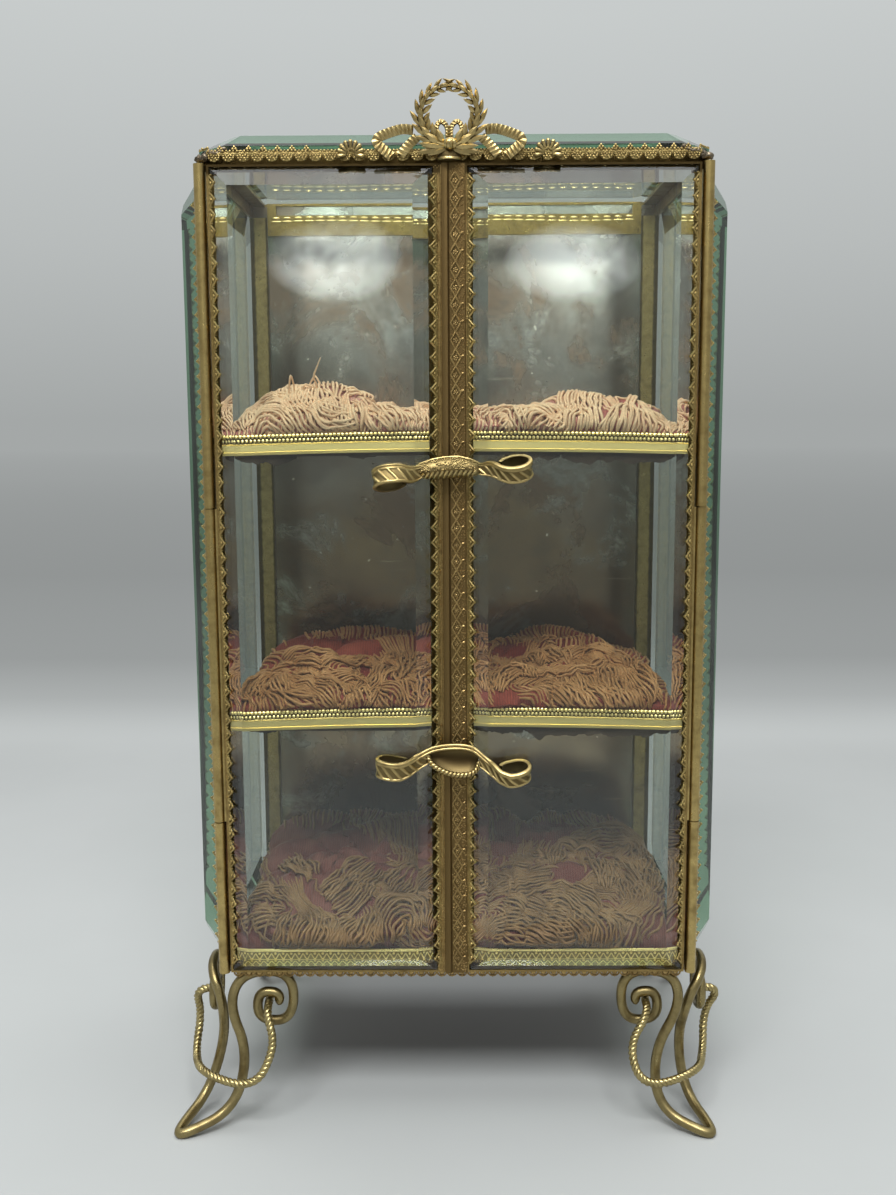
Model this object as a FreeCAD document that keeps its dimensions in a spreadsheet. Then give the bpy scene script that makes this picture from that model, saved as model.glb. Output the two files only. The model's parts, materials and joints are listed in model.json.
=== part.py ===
import FreeCAD, Part
import math
import os

import Sketcher

# A gilt-brass and bevelled-glass jewelry casket in the form of a small display cabinet: two hinged
# glass doors with turn clasps, three compartments with cushions, an aged mirror behind them, four
# wire feet with scrolls and twisted wire rings, and a wreath-and-bow crest.
# Millimetres. X is to the right, Y to the back, Z up. The origin lies on the floor, midway between
# the four toes.

V = FreeCAD.Vector
doc = FreeCAD.newDocument("casket")

SIZES = {
    # the case
    "foot_height": 47.0,        # floor to the underside of the case
    "case_height": 231.0,       # length of the hinge tubes, from the underside of the case
    "crown_height": 2.8,        # top frame above the hinge tubes
    "case_depth": 88.0,         # front to back over the bottom frame
    "hinge_spacing": 138.0,     # between the two hinge axes
    "side_inset": 0.4,          # side plane of the frame, inward of the hinge axis
    "strip": 0.8,               # gauge of the frame strips
    "flange_width": 5.0,        # inward legs of the frames and rear posts
    "web_height": 4.5,          # upright legs of the two frames
    "post_width": 6.0,          # front posts, front to back
    "rear_lip": 2.5,            # short outer leg of a rear post
    "top_lip": 6.6,             # strip that hangs below the top frame in front of the mirror
    "lip_hang": 3.8,            # how far below the frame top that strip starts
    "lip_tab": 3.0,             # width of the two tabs that carry it
    "mirror_thickness": 3.0,
    "backing": 1.4,
    "fit_gap": 0.1,             # play between fixed pieces
    # the glass
    "glass_edge": 1.6,          # thickness left at the edge of a bevelled plate
    "glass_rise": 4.4,          # how far the bevel rises
    "door_bevel": 5.4,
    "door_trim_inset": 2.2,     # where a door's toothed strips start, from the corner of its glass
    "side_rise": 6.4,           # the same on the two side plates
    "side_bevel": 8.5,
    "side_clip": 8.0,
    "side_edge": 0.6,           # side plates stop this far inside the frame
    # hinges and doors
    "tube_radius": 1.6,
    "pin_radius": 0.75,
    "pin_clearance": 0.05,      # radial, a running fit
    "running_gap": 0.3,         # between pieces that move past each other
    "lower_knuckle": 46.4,
    "middle_knuckle": 91.3,
    "door_reach": 1.2,          # door frame ahead of the hinge axis
    "door_side_gap": 0.5,       # hinge tube to the door's edge
    "door_end_gap": 0.4,        # above and below a door
    "back_lip": 0.6,            # door frame behind the glass
    "window_lip": 2.2,          # how far that lip runs in under the glass
    "edge_web": 0.6,            # door frame beside the glass
    "split_offset": 3.0,        # the doors meet this far left of the middle
    "split_gap": 0.4,
    "left_stile": 2.4,          # meeting stiles
    "right_stile": 6.4,
    "band_depth": 0.9,          # ornamental band on the right meeting stile
    "band_edge": 0.9,           # width of its raised borders
    "band_sink": 0.35,          # its sunk middle
    # shelves, sill and cushions
    "base_thickness": 3.0,
    "sill_height": 7.5,
    "sill_gauge": 0.5,
    "upper_shelf": 157.7,       # rail tops above the underside of the case
    "lower_shelf": 78.3,
    "rail_height": 5.0,
    "rail_bead": 0.6,
    "shelf_drop": 3.0,          # shelf board below the rail top
    "shelf_thickness": 2.5,
    "shelf_setback": 2.5,       # board front behind the frame front
    "ledge_width": 4.0,
    "base_cushion_height": 21.5,
    "lower_cushion_height": 12.0,
    "upper_cushion_height": 11.0,
    "cushion_inset": 3.0,
    "cushion_round": 4.5,
    # toothed trims and gallery
    "trim_base": 1.4,
    "trim_tooth": 1.2,
    "trim_pitch": 4.1,
    "trim_gauge": 0.5,
    "gallery_base": 3.0,
    "gallery_inset": 3.6,       # end of the top gallery, from the side edge of the top glass
    "hem_base": 1.2,
    # wire feet
    "wire_radius": 1.5,
    "toe_out": 11.6,            # toe beyond the case corner, along Y
    "wide_splay": 13.4,         # along X, for the front left and rear right feet
    "close_splay": 5.6,         # along X, for the front right and rear left feet
    "toe_width": 3.2,
    "toe_flat": 0.25,           # depth filed off the toe
    "wire_plane": 2.0,          # front scroll in from the edge of the frame
    "side_scroll_out": 6.0,     # side scroll beyond the side of the frame
    "scroll_start": 4.5,
    "scroll_width": 14.7,
    "scroll_drop": 15.6,
    "curl_start": 4.0,          # inner curl, from the near edge of its scroll
    "curl_width": 6.6,
    "curl_drop": 6.6,
    "knee_swing": 6.8,          # widest swing of a leg's double bend
    "leg_lean": 6.0,            # outward, above the toe
    "hook_reach": 2.2,          # end of a twisted ring behind the scroll it hangs on
    "twist_radius": 1.2,
    # crest
    "crest_offset": 1.2,        # the whole crest sits left of the middle
    "wreath_radius": 7.6,
    "wreath_half": 1.3,
    "wreath_leaf": 0.9,
    "wreath_lift": 11.3,        # wreath centre above the hinge tubes
    "wreath_depth": 2.0,
    "bow_depth": 1.2,
    "bow_half": 0.9,
    "bow_reach": 20.2,          # outer corner of a bow loop
    "bow_rise": 10.2,
    "knot_half": 9.4,           # leaves at the foot of the wreath, left and right
    "knot_height": 3.4,
    "knot_lift": 2.2,
    "shell_radius": 3.4,
    "shell_out": 26.5,
    # turn clasps
    "upper_clasp": 148.4,       # spindles above the underside of the case
    "lower_clasp": 62.6,
    "upper_tilt": 7.7,          # degrees, right end up
    "lower_tilt": 1.0,
    "ribbon": 0.8,
    "clasp_half": 21.0,
    "clasp_height": 6.0,
    "clasp_waist": 4.2,
    "loop_width": 7.4,
    "loop_depth": 4.4,
    "spindle_offset": 2.0,      # spindles in from the right door's meeting edge
    "spindle_radius": 1.0,
    "rivet_radius": 1.7,
    "rivet_depth": 0.5,
    "tongue_length": 8.0,
    "tongue_width": 3.2,
}

sheet = doc.addObject("Spreadsheet::Sheet", "Sizes")
for row, (alias, value) in enumerate(SIZES.items(), 1):
    sheet.set(f"A{row}", alias)
    sheet.set(f"B{row}", str(value))
    sheet.setAlias(f"B{row}", alias)
doc.recompute()

# Places that several pieces share, as expressions of the sheet.
HINGE_X = "(Sizes.hinge_spacing / 2)"
SIDE_X = f"({HINGE_X} - Sizes.side_inset)"
INNER_X = f"({SIDE_X} - Sizes.strip)"
GLASS_X = f"({SIDE_X} + Sizes.glass_edge)"
CASE_Z = "Sizes.foot_height"
TOP_Z = "(Sizes.foot_height + Sizes.case_height)"
FRAME_TOP = f"({TOP_Z} + Sizes.crown_height)"
WEB_LOW = f"({CASE_Z} + Sizes.web_height)"
WEB_HIGH = f"({FRAME_TOP} - Sizes.web_height)"
FRONT_Y = "(-Sizes.case_depth / 2)"
BACK_Y = "(Sizes.case_depth / 2)"
HINGE_Y = f"({FRONT_Y} - Sizes.tube_radius - Sizes.running_gap)"
DOOR_FRONT = f"({HINGE_Y} - Sizes.door_reach)"
DOOR_BACK = f"({DOOR_FRONT} + Sizes.glass_edge + Sizes.back_lip)"
REAR_Y = f"({BACK_Y} - 2 * Sizes.strip - Sizes.mirror_thickness - Sizes.backing)"
DOOR_EDGE = f"({HINGE_X} - Sizes.tube_radius - Sizes.door_side_gap)"
DOOR_LOW = f"({CASE_Z} + Sizes.door_end_gap)"
DOOR_HIGH = f"({TOP_Z} - Sizes.door_end_gap)"
LEFT_MEET = "(-Sizes.split_offset - Sizes.split_gap / 2)"
RIGHT_MEET = "(-Sizes.split_offset + Sizes.split_gap / 2)"
SPLIT_LOW = f"({CASE_Z} + Sizes.lower_knuckle)"
SPLIT_HIGH = f"({SPLIT_LOW} + Sizes.middle_knuckle)"
BAND_FRONT = f"({DOOR_FRONT} - Sizes.band_depth)"
SHELF_FRONT = f"({FRONT_Y} + Sizes.shelf_setback)"
SPINDLE_X = f"({RIGHT_MEET} + Sizes.spindle_offset)"

subparts = []


def num(expression):
    return float(sheet.evalExpression(expression))


def keep(item, label):
    item.Label = label
    subparts.append(item)
    return item


def mirrored(side, low, high):
    if side > 0:
        return (low, high)
    return (f"-({high})", f"-({low})")


def box(name, x, y, z):
    item = doc.addObject("Part::Box", name)
    for size, axis, (low, high) in (("Length", "x", x), ("Width", "y", y), ("Height", "z", z)):
        item.setExpression(size, f"({high}) - ({low})")
        item.setExpression(f"Placement.Base.{axis}", f"{low}")
    return item


def cylinder(name, radius, x, y, z_low, z_high):
    item = doc.addObject("Part::Cylinder", name)
    item.setExpression("Radius", radius)
    item.setExpression("Height", f"({z_high}) - ({z_low})")
    item.setExpression("Placement.Base.x", x)
    item.setExpression("Placement.Base.y", y)
    item.setExpression("Placement.Base.z", z_low)
    return item


def forward_cylinder(name, radius, x, y_back, y_front, z):
    item = doc.addObject("Part::Cylinder", name)
    item.Placement = FreeCAD.Placement(V(), FreeCAD.Rotation(V(1, 0, 0), 90))
    item.setExpression("Radius", radius)
    item.setExpression("Height", f"({y_back}) - ({y_front})")
    item.setExpression("Placement.Base.x", x)
    item.setExpression("Placement.Base.y", y_back)
    item.setExpression("Placement.Base.z", z)
    return item


def cut(name, base, tool):
    item = doc.addObject("Part::Cut", name)
    item.Base = base
    item.Tool = tool
    return item


def fuse(name, shapes):
    item = doc.addObject("Part::MultiFuse", name)
    item.Shapes = shapes
    return item


def outline(body, name, role, points, offset):
    plane = [item for item in body.Origin.OriginFeatures if item.Role == role][0]
    sketch = body.newObject("Sketcher::SketchObject", name)
    sketch.AttachmentSupport = [(plane, "")]
    sketch.MapMode = "FlatFace"
    sketch.setExpression("AttachmentOffset.Base.z", offset)
    corners = [V(num(u), num(v), 0) for u, v in points]
    count = len(corners)
    for i in range(count):
        sketch.addGeometry(Part.LineSegment(corners[i], corners[(i + 1) % count]), False)
    for i in range(count):
        sketch.addConstraint(Sketcher.Constraint("Coincident", i, 2, (i + 1) % count, 1))
    for i, (u, v) in enumerate(points):
        for kind, expression, value in (("DistanceX", u, corners[i].x), ("DistanceY", v, corners[i].y)):
            index = sketch.addConstraint(Sketcher.Constraint(kind, -1, 1, i, 1, value))
            sketch.setExpression(f"Constraints[{index}]", expression)
    return sketch


def rectangle(u, v):
    return [(u[0], v[0]), (u[1], v[0]), (u[1], v[1]), (u[0], v[1])]


def clipped(u, v, inset, clip):
    u_low, u_high = f"({u[0]} + {inset})", f"({u[1]} - {inset})"
    v_low, v_high = f"({v[0]} + {inset})", f"({v[1]} - {inset})"
    return [
        (f"{u_low} + {clip}", v_low), (f"{u_high} - {clip}", v_low),
        (u_high, f"{v_low} + {clip}"), (u_high, f"{v_high} - {clip}"),
        (f"{u_high} - {clip}", v_high), (f"{u_low} + {clip}", v_high),
        (u_low, f"{v_high} - {clip}"), (u_low, f"{v_low} + {clip}"),
    ]


def pad(body, name, sketch, length, backwards=False):
    feature = body.newObject("PartDesign::Pad", name)
    feature.Profile = sketch
    feature.setExpression("Length", length)
    feature.Reversed = backwards
    return feature


def pocket(body, name, sketch, length):
    feature = body.newObject("PartDesign::Pocket", name)
    feature.Profile = sketch
    feature.setExpression("Length", length)
    return feature


def clipped_cut(u, v, bevel, clip):
    # Outlines of the edge and the flat face of a plate with clipped corners. The clip narrows with the
    # bevel, because the corner facet leans in at the same slope.
    return clipped(u, v, "0", clip), clipped(u, v, bevel, f"({clip} - (2 - sqrt(2)) * {bevel})")


def square_cut(u, v, bevel):
    # The same outlines for a plate with square corners, where two bevels meet in a mitre.
    face = [(f"({low} + {bevel})", f"({high} - {bevel})") for low, high in (u, v)]
    return rectangle(u, v), rectangle(*face)


def bevelled_plate(label, role, outlines, offset, outward, rise):
    # A plate with a thin edge, then a bevel that rises to a smaller flat face.
    body = doc.addObject("PartDesign::Body", label)
    sign = "+" if outward > 0 else "-"
    edge = outline(body, f"{label}_edge", role, outlines[0], offset)
    face = outline(body, f"{label}_face", role, outlines[1], f"{offset} {sign} {rise}")
    pad(body, f"{label}_rim", edge, "Sizes.glass_edge", outward > 0)
    loft = body.newObject("PartDesign::AdditiveLoft", f"{label}_bevel")
    loft.Profile = edge
    loft.Sections = [face]
    loft.Ruled = True
    return keep(body, label)


def bend(before, corner, after, share):
    # The arc that rounds one corner, as its start, crown and end. It takes the given share of the
    # shorter run beside the corner.
    back = before - corner
    ahead = after - corner
    reach = share * min(back.Length, ahead.Length)
    back.normalize()
    ahead.normalize()
    half = back.getAngle(ahead) / 2
    middle = back + ahead
    middle.normalize()
    radius = reach * math.tan(half)
    crown = corner + middle * (radius / math.sin(half) - radius)
    return corner + back * reach, crown, corner + ahead * reach


def rounded_path(points, share=0.45):
    # A bent wire's centre line: straight runs joined by tangent arcs.
    edges = []
    last = points[0]
    for before, corner, after in zip(points, points[1:], points[2:]):
        start, crown, end = bend(before, corner, after, share)
        edges.append(Part.LineSegment(last, start).toShape())
        edges.append(Part.Arc(start, crown, end).toShape())
        last = end
    edges.append(Part.LineSegment(last, points[-1]).toShape())
    return Part.Wire(edges)


def rounded_loop(points, share=0.4):
    # The same round a closed outline.
    count = len(points)
    bends = [bend(points[i - 1], points[i], points[(i + 1) % count], share) for i in range(count)]
    edges = []
    for i, (start, crown, end) in enumerate(bends):
        edges.append(Part.Arc(start, crown, end).toShape())
        edges.append(Part.LineSegment(end, bends[(i + 1) % count][0]).toShape())
    return Part.Wire(edges)


def round_sweep(path, radius):
    first = path.Edges[0]
    start = first.valueAt(first.FirstParameter)
    along = first.tangentAt(first.FirstParameter)
    ring = Part.Wire(Part.makeCircle(radius, start, along))
    return path.makePipeShell([ring], True, False)


def shaped(name, shape):
    item = doc.addObject("Part::Feature", name)
    item.Shape = shape
    return item


def toothed_strip(start, end, inward, outward, rise, base, tooth):
    # A stamped strip whose inner edge is a row of points. It leans by the slope of the bevel under it.
    along = end - start
    length = along.Length
    along.normalize()
    slope = inward * math.cos(rise) + outward * math.sin(rise)
    normal = outward * math.cos(rise) - inward * math.sin(rise)
    count = max(2, int(length // num("Sizes.trim_pitch")))
    pitch = length / count
    points = [start, end]
    for i in range(count, 0, -1):
        points.append(start + along * (i * pitch) + slope * base)
        points.append(start + along * ((i - 0.5) * pitch) + slope * (base + tooth))
    points.append(start + slope * base)
    face = Part.Face(Part.makePolygon(points + [points[0]]))
    return face.extrude(normal * num("Sizes.trim_gauge"))


def plate_trim(label, corners, outward, rise, bevel, inset, skip=()):
    # Strips on the bevels of one plate. Corners go round the plate's outline at its thin edge.
    slope = math.atan2(num(rise), num(bevel))
    middle = sum(corners, V()) * 0.25
    strips = []
    for i in range(4):
        if i in skip:
            continue
        first, last = corners[i], corners[(i + 1) % 4]
        along = last - first
        along.normalize()
        inward = middle - (first + last) * 0.5
        inward.normalize()
        strips.append(toothed_strip(first + along * num(inset), last - along * num(inset), inward, outward,
                                    slope, num("Sizes.trim_base"), num("Sizes.trim_tooth")))
    return keep(shaped(label, Part.makeCompound(strips)), label)


def frame_ring(label, low, high, floor_low, floor_high):
    # An angle-strip ring: upright webs round the outside and a flange that runs inward.
    outer = box(f"{label}_outer", (f"-{SIDE_X}", SIDE_X), (FRONT_Y, BACK_Y), (low, high))
    cavity = box(f"{label}_cavity", (f"-{INNER_X}", INNER_X),
                 (f"{FRONT_Y} + Sizes.strip", f"{BACK_Y} - Sizes.strip"), (floor_low, floor_high))
    reach = f"({SIDE_X} - Sizes.flange_width)"
    opening = box(f"{label}_opening", (f"-{reach}", reach),
                  (f"{FRONT_Y} + Sizes.flange_width", f"{BACK_Y} - Sizes.flange_width"),
                  (f"{low} - 1", f"{high} + 1"))
    return cut(f"{label}_ring", cut(f"{label}_tray", outer, cavity), opening)


def frames():
    ring = frame_ring("bottom_frame", CASE_Z, WEB_LOW, f"{CASE_Z} + Sizes.strip", f"{WEB_LOW} + 1")
    keep(ring, "bottom_frame")
    ring = frame_ring("top_frame", WEB_HIGH, FRAME_TOP, f"{WEB_HIGH} - 1", f"{FRAME_TOP} - Sizes.strip")
    # A strip hangs from the rear flange on two tabs, between the rear posts and in front of the mirror.
    half = f"({INNER_X} - Sizes.flange_width - Sizes.fit_gap)"
    sheet = (REAR_Y, f"{REAR_Y} + Sizes.strip")
    lip_top = f"({FRAME_TOP} - Sizes.lip_hang)"
    lip = box("top_lip", (f"-{half}", half), sheet, (f"{lip_top} - Sizes.top_lip", lip_top))
    bridge = box("top_lip_bridge", (f"-{half}", half),
                 (REAR_Y, f"{BACK_Y} - Sizes.flange_width + Sizes.strip"),
                 (f"{FRAME_TOP} - Sizes.strip", FRAME_TOP))
    tabs = [box(f"top_lip_{name}_tab", mirrored(side, f"{half} - Sizes.lip_tab", half), sheet,
                (lip_top, FRAME_TOP)) for name, side in (("left", -1), ("right", 1))]
    keep(fuse("top_frame", [ring, lip, bridge, *tabs]), "top_frame")


def sill():
    half = f"({DOOR_EDGE} - Sizes.running_gap)"
    keep(box("sill_rail", (f"-{half}", half), (f"{FRONT_Y} - Sizes.sill_gauge", FRONT_Y),
             (CASE_Z, f"{CASE_Z} + Sizes.sill_height")), "sill_rail")


def front_post(label, side):
    keep(box(label, mirrored(side, INNER_X, SIDE_X), (FRONT_Y, f"{FRONT_Y} + Sizes.post_width"),
             (WEB_LOW, WEB_HIGH)), label)


def rear_post(label, side):
    # A channel open to the middle: its inner leg shows in front of the mirror, its short outer leg
    # holds the backing board.
    body = doc.addObject("PartDesign::Body", label)
    lip = f"({INNER_X} - Sizes.rear_lip)"
    leg = f"({INNER_X} - Sizes.flange_width)"
    turns = [
        (SIDE_X, REAR_Y), (SIDE_X, BACK_Y), (lip, BACK_Y), (lip, f"{BACK_Y} - Sizes.strip"),
        (INNER_X, f"{BACK_Y} - Sizes.strip"), (INNER_X, f"{REAR_Y} + Sizes.strip"),
        (leg, f"{REAR_Y} + Sizes.strip"), (leg, REAR_Y),
    ]
    points = turns if side > 0 else [(f"-({u})", v) for u, v in turns]
    section = outline(body, f"{label}_section", "XY_Plane", points, WEB_LOW)
    pad(body, f"{label}_length", section, f"{WEB_HIGH} - {WEB_LOW}")
    keep(body, label)


def back_panel():
    half = f"({INNER_X} - Sizes.fit_gap)"
    high = (f"{CASE_Z} + Sizes.strip", f"{FRAME_TOP} - Sizes.strip - Sizes.fit_gap")
    face = f"({REAR_Y} + Sizes.strip)"
    rear = f"({face} + Sizes.mirror_thickness)"
    keep(box("back_mirror", (f"-{half}", half), (face, rear), high), "back_mirror")
    keep(box("back_board", (f"-{half}", half), (rear, f"{rear} + Sizes.backing"), high), "back_board")


def base_board():
    half = f"({INNER_X} - Sizes.fit_gap)"
    keep(box("base_board", (f"-{half}", half),
             (f"{FRONT_Y} + Sizes.strip + Sizes.fit_gap", f"{REAR_Y} - Sizes.fit_gap"),
             (f"{CASE_Z} + Sizes.strip", f"{CASE_Z} + Sizes.strip + Sizes.base_thickness")), "base_board")


def shelf(prefix, height):
    top = f"({CASE_Z} + {height})"
    board_top = f"({top} - Sizes.shelf_drop)"
    board_low = f"({board_top} - Sizes.shelf_thickness)"
    half = f"({INNER_X} - Sizes.fit_gap)"
    keep(box(f"{prefix}_shelf_board", (f"-{half}", half), (SHELF_FRONT, f"{REAR_Y} - Sizes.fit_gap"),
             (board_low, board_top)), f"{prefix}_shelf_board")
    ledges = []
    for side in (-1, 1):
        ledges.append(box(f"{prefix}_ledge_{'left' if side < 0 else 'right'}",
                          mirrored(side, f"{INNER_X} - Sizes.ledge_width", INNER_X),
                          (f"{FRONT_Y} + Sizes.strip", REAR_Y), (f"{board_low} - Sizes.strip", board_low)))
    pair = doc.addObject("Part::Compound", f"{prefix}_shelf_ledges")
    pair.Links = ledges
    keep(pair, f"{prefix}_shelf_ledges")
    shelf_rail(f"{prefix}_shelf_rail", half, top)


def shelf_rail(label, half, top):
    # A flat strip along the shelf's front edge with a rounded bead along its top.
    body = doc.addObject("PartDesign::Body", label)
    back = SHELF_FRONT
    front = f"({SHELF_FRONT} - Sizes.strip)"
    nose = f"({front} - Sizes.rail_bead)"
    low = f"({top} - Sizes.rail_height)"
    points = [
        (back, low), (back, top), (front, top), (nose, f"{top} - Sizes.rail_bead / 2"),
        (nose, f"{top} - 1.5 * Sizes.rail_bead"), (front, f"{top} - 2 * Sizes.rail_bead"), (front, low),
    ]
    section = outline(body, f"{label}_section", "YZ_Plane", points, f"-{half}")
    pad(body, f"{label}_length", section, f"2 * {half}")
    keep(body, label)


def cushion(label, seat, height):
    half = f"({INNER_X} - Sizes.cushion_inset)"
    depth = (f"{SHELF_FRONT} + Sizes.fit_gap", f"{REAR_Y} - Sizes.cushion_inset")
    block = box(f"{label}_block", (f"-{half}", half), depth, (seat, f"{seat} + {height}"))
    doc.recompute()
    top = num(f"{seat} + {height}")
    upper = [i + 1 for i, edge in enumerate(block.Shape.Edges)
             if all(abs(vertex.Z - top) < 1e-6 for vertex in edge.Vertexes)]
    rounded = doc.addObject("Part::Fillet", label)
    rounded.Base = block
    radius = num("Sizes.cushion_round")
    rounded.Edges = [(i, radius, radius) for i in upper]
    keep(rounded, label)


def cushions():
    drop = "Sizes.shelf_drop"
    cushion("base_cushion", f"({CASE_Z} + Sizes.strip + Sizes.base_thickness)", "Sizes.base_cushion_height")
    cushion("lower_cushion", f"({CASE_Z} + Sizes.lower_shelf - {drop})", "Sizes.lower_cushion_height")
    cushion("upper_cushion", f"({CASE_Z} + Sizes.upper_shelf - {drop})", "Sizes.upper_cushion_height")


def case_glass():
    y = (f"({FRONT_Y} + Sizes.side_edge)", f"({BACK_Y} - Sizes.fit_gap)")
    z = (f"({CASE_Z} + Sizes.fit_gap)", f"({TOP_Z} - Sizes.fit_gap)")
    side_cut = ("Sizes.side_rise", "Sizes.side_bevel", "Sizes.side_clip")
    for name, side in (("left", -1), ("right", 1)):
        face = mirrored(side, GLASS_X, GLASS_X)[0]
        bevelled_plate(f"{name}_side_glass", "YZ_Plane", clipped_cut(y, z, *side_cut[1:]), face, side,
                       side_cut[0])
        plane = num(face)
        corners = [V(plane, num(a), num(b)) for a, b in rectangle(y, z)]
        plate_trim(f"{name}_side_trim", corners, V(side, 0, 0), *side_cut)
    x = (f"(-{GLASS_X})", GLASS_X)
    seat = f"({FRAME_TOP} + Sizes.glass_edge)"
    top_cut = ("Sizes.glass_rise", "Sizes.side_bevel", "Sizes.side_clip")
    bevelled_plate("top_glass", "XY_Plane", clipped_cut(x, (DOOR_FRONT, BACK_Y), *top_cut[1:]), seat, 1,
                   top_cut[0])
    corners = [V(num(a), num(b), num(seat)) for a, b in rectangle(x, (DOOR_FRONT, BACK_Y))]
    plate_trim("top_trim", corners, V(0, 0, 1), *top_cut, skip=(0,))


def galleries():
    # The upright toothed strip in front of the top glass, which carries the crest, and a narrow one
    # that hangs below the sill.
    half = num(f"{GLASS_X} - Sizes.gallery_inset")
    front = num(DOOR_FRONT)
    low = num(TOP_Z)
    strip = toothed_strip(V(-half, front, low), V(half, front, low), V(0, 0, 1), V(0, -1, 0), 0,
                          num("Sizes.gallery_base"), num("Sizes.trim_tooth"))
    keep(shaped("top_gallery", strip), "top_gallery")
    half = num(f"{DOOR_EDGE} - Sizes.running_gap")
    front, high = num(FRONT_Y), num(CASE_Z)
    hem = toothed_strip(V(-half, front, high), V(half, front, high), V(0, 0, -1), V(0, -1, 0), 0,
                        num("Sizes.hem_base"), num("Sizes.trim_tooth"))
    keep(shaped("bottom_gallery", hem), "bottom_gallery")


def hinge_pin(label, side):
    x = mirrored(side, HINGE_X, HINGE_X)[0]
    keep(cylinder(label, "Sizes.pin_radius", x, HINGE_Y, CASE_Z, TOP_Z), label)


def knuckle(label, side, low, high, web_x, web_y):
    # A length of hinge tube with the web that joins it to its post or its door.
    x = mirrored(side, HINGE_X, HINGE_X)[0]
    tube = cylinder(f"{label}_tube", "Sizes.tube_radius", x, HINGE_Y, low, high)
    web = box(f"{label}_web", mirrored(side, *web_x), web_y, (low, high))
    bore = cylinder(f"{label}_bore", "Sizes.pin_radius + Sizes.pin_clearance", x, HINGE_Y,
                    f"{low} - 1", f"{high} + 1")
    keep(cut(label, fuse(f"{label}_blank", [tube, web]), bore), label)


def hinges():
    half = "Sizes.running_gap / 2"
    to_post = ((INNER_X, SIDE_X), (HINGE_Y, FRONT_Y))
    to_door = ((DOOR_EDGE, HINGE_X), (f"{HINGE_Y} - Sizes.back_lip", f"{HINGE_Y} + Sizes.back_lip"))
    for name, side in (("left", -1), ("right", 1)):
        hinge_pin(f"{name}_hinge_pin", side)
        knuckle(f"{name}_lower_knuckle", side, CASE_Z, f"{SPLIT_LOW} - {half}", *to_post)
        knuckle(f"{name}_door_knuckle", side, f"{SPLIT_LOW} + {half}", f"{SPLIT_HIGH} - {half}", *to_door)
        knuckle(f"{name}_upper_knuckle", side, f"{SPLIT_HIGH} + {half}", TOP_Z, *to_post)


def door_frame(label, outer_x, glass_x, glass_z, holes):
    # A rebated frame: glass drops in from the front on to a narrow lip.
    body = doc.addObject("PartDesign::Body", label)
    lip = "Sizes.window_lip"
    outer_z = (DOOR_LOW, DOOR_HIGH)
    blank = outline(body, f"{label}_blank", "XZ_Plane", rectangle(outer_x, outer_z), f"-{DOOR_BACK}")
    pad(body, f"{label}_plate", blank, "Sizes.glass_edge + Sizes.back_lip")
    seat = outline(body, f"{label}_seat", "XZ_Plane", rectangle(glass_x, glass_z), f"-{DOOR_FRONT}")
    pocket(body, f"{label}_rebate", seat, "Sizes.glass_edge")
    window_x = (f"{glass_x[0]} + {lip}", f"{glass_x[1]} - {lip}")
    window_z = (f"{glass_z[0]} + {lip}", f"{glass_z[1]} - {lip}")
    view = outline(body, f"{label}_view", "XZ_Plane", rectangle(window_x, window_z), f"-{DOOR_FRONT}")
    pocket(body, f"{label}_window", view, "Sizes.glass_edge + Sizes.back_lip + 1")
    if not holes:
        return keep(body, label)
    body.Label = f"{label}_undrilled"
    return keep(cut(label, body, spindle_holes(label)), label)


def spindle_holes(name):
    radius = "Sizes.spindle_radius + Sizes.pin_clearance"
    drills = []
    for place in ("lower", "upper"):
        drills.append(forward_cylinder(f"{name}_{place}_hole", radius, SPINDLE_X, f"{DOOR_BACK} + 1",
                                       f"{BAND_FRONT} - 1", f"{CASE_Z} + Sizes.{place}_clasp"))
    return fuse(f"{name}_holes", drills)


def doors():
    edge = f"({DOOR_EDGE} - Sizes.edge_web)"
    glass_z = (f"({DOOR_LOW} + Sizes.edge_web)", f"({DOOR_HIGH} - Sizes.edge_web)")
    left_x = (f"(-{edge})", f"({LEFT_MEET} - Sizes.left_stile)")
    right_x = (f"({RIGHT_MEET} + Sizes.right_stile)", edge)
    door_frame("left_door_frame", (f"-{DOOR_EDGE}", LEFT_MEET), left_x, glass_z, False)
    door_frame("right_door_frame", (RIGHT_MEET, DOOR_EDGE), right_x, glass_z, True)
    for name, glass_x in (("left", left_x), ("right", right_x)):
        gap = "Sizes.fit_gap"
        x = (f"({glass_x[0]} + {gap})", f"({glass_x[1]} - {gap})")
        z = (f"({glass_z[0]} + {gap})", f"({glass_z[1]} - {gap})")
        rise, bevel = "Sizes.glass_rise", "Sizes.door_bevel"
        bevelled_plate(f"{name}_door_glass", "XZ_Plane", square_cut(x, z, bevel), f"-{DOOR_FRONT}", 1, rise)
        corners = [V(num(a), num(DOOR_FRONT), num(b)) for a, b in rectangle(x, z)]
        plate_trim(f"{name}_door_trim", corners, V(0, -1, 0), rise, bevel, "Sizes.door_trim_inset",
                   skip=(0, 2))


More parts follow.
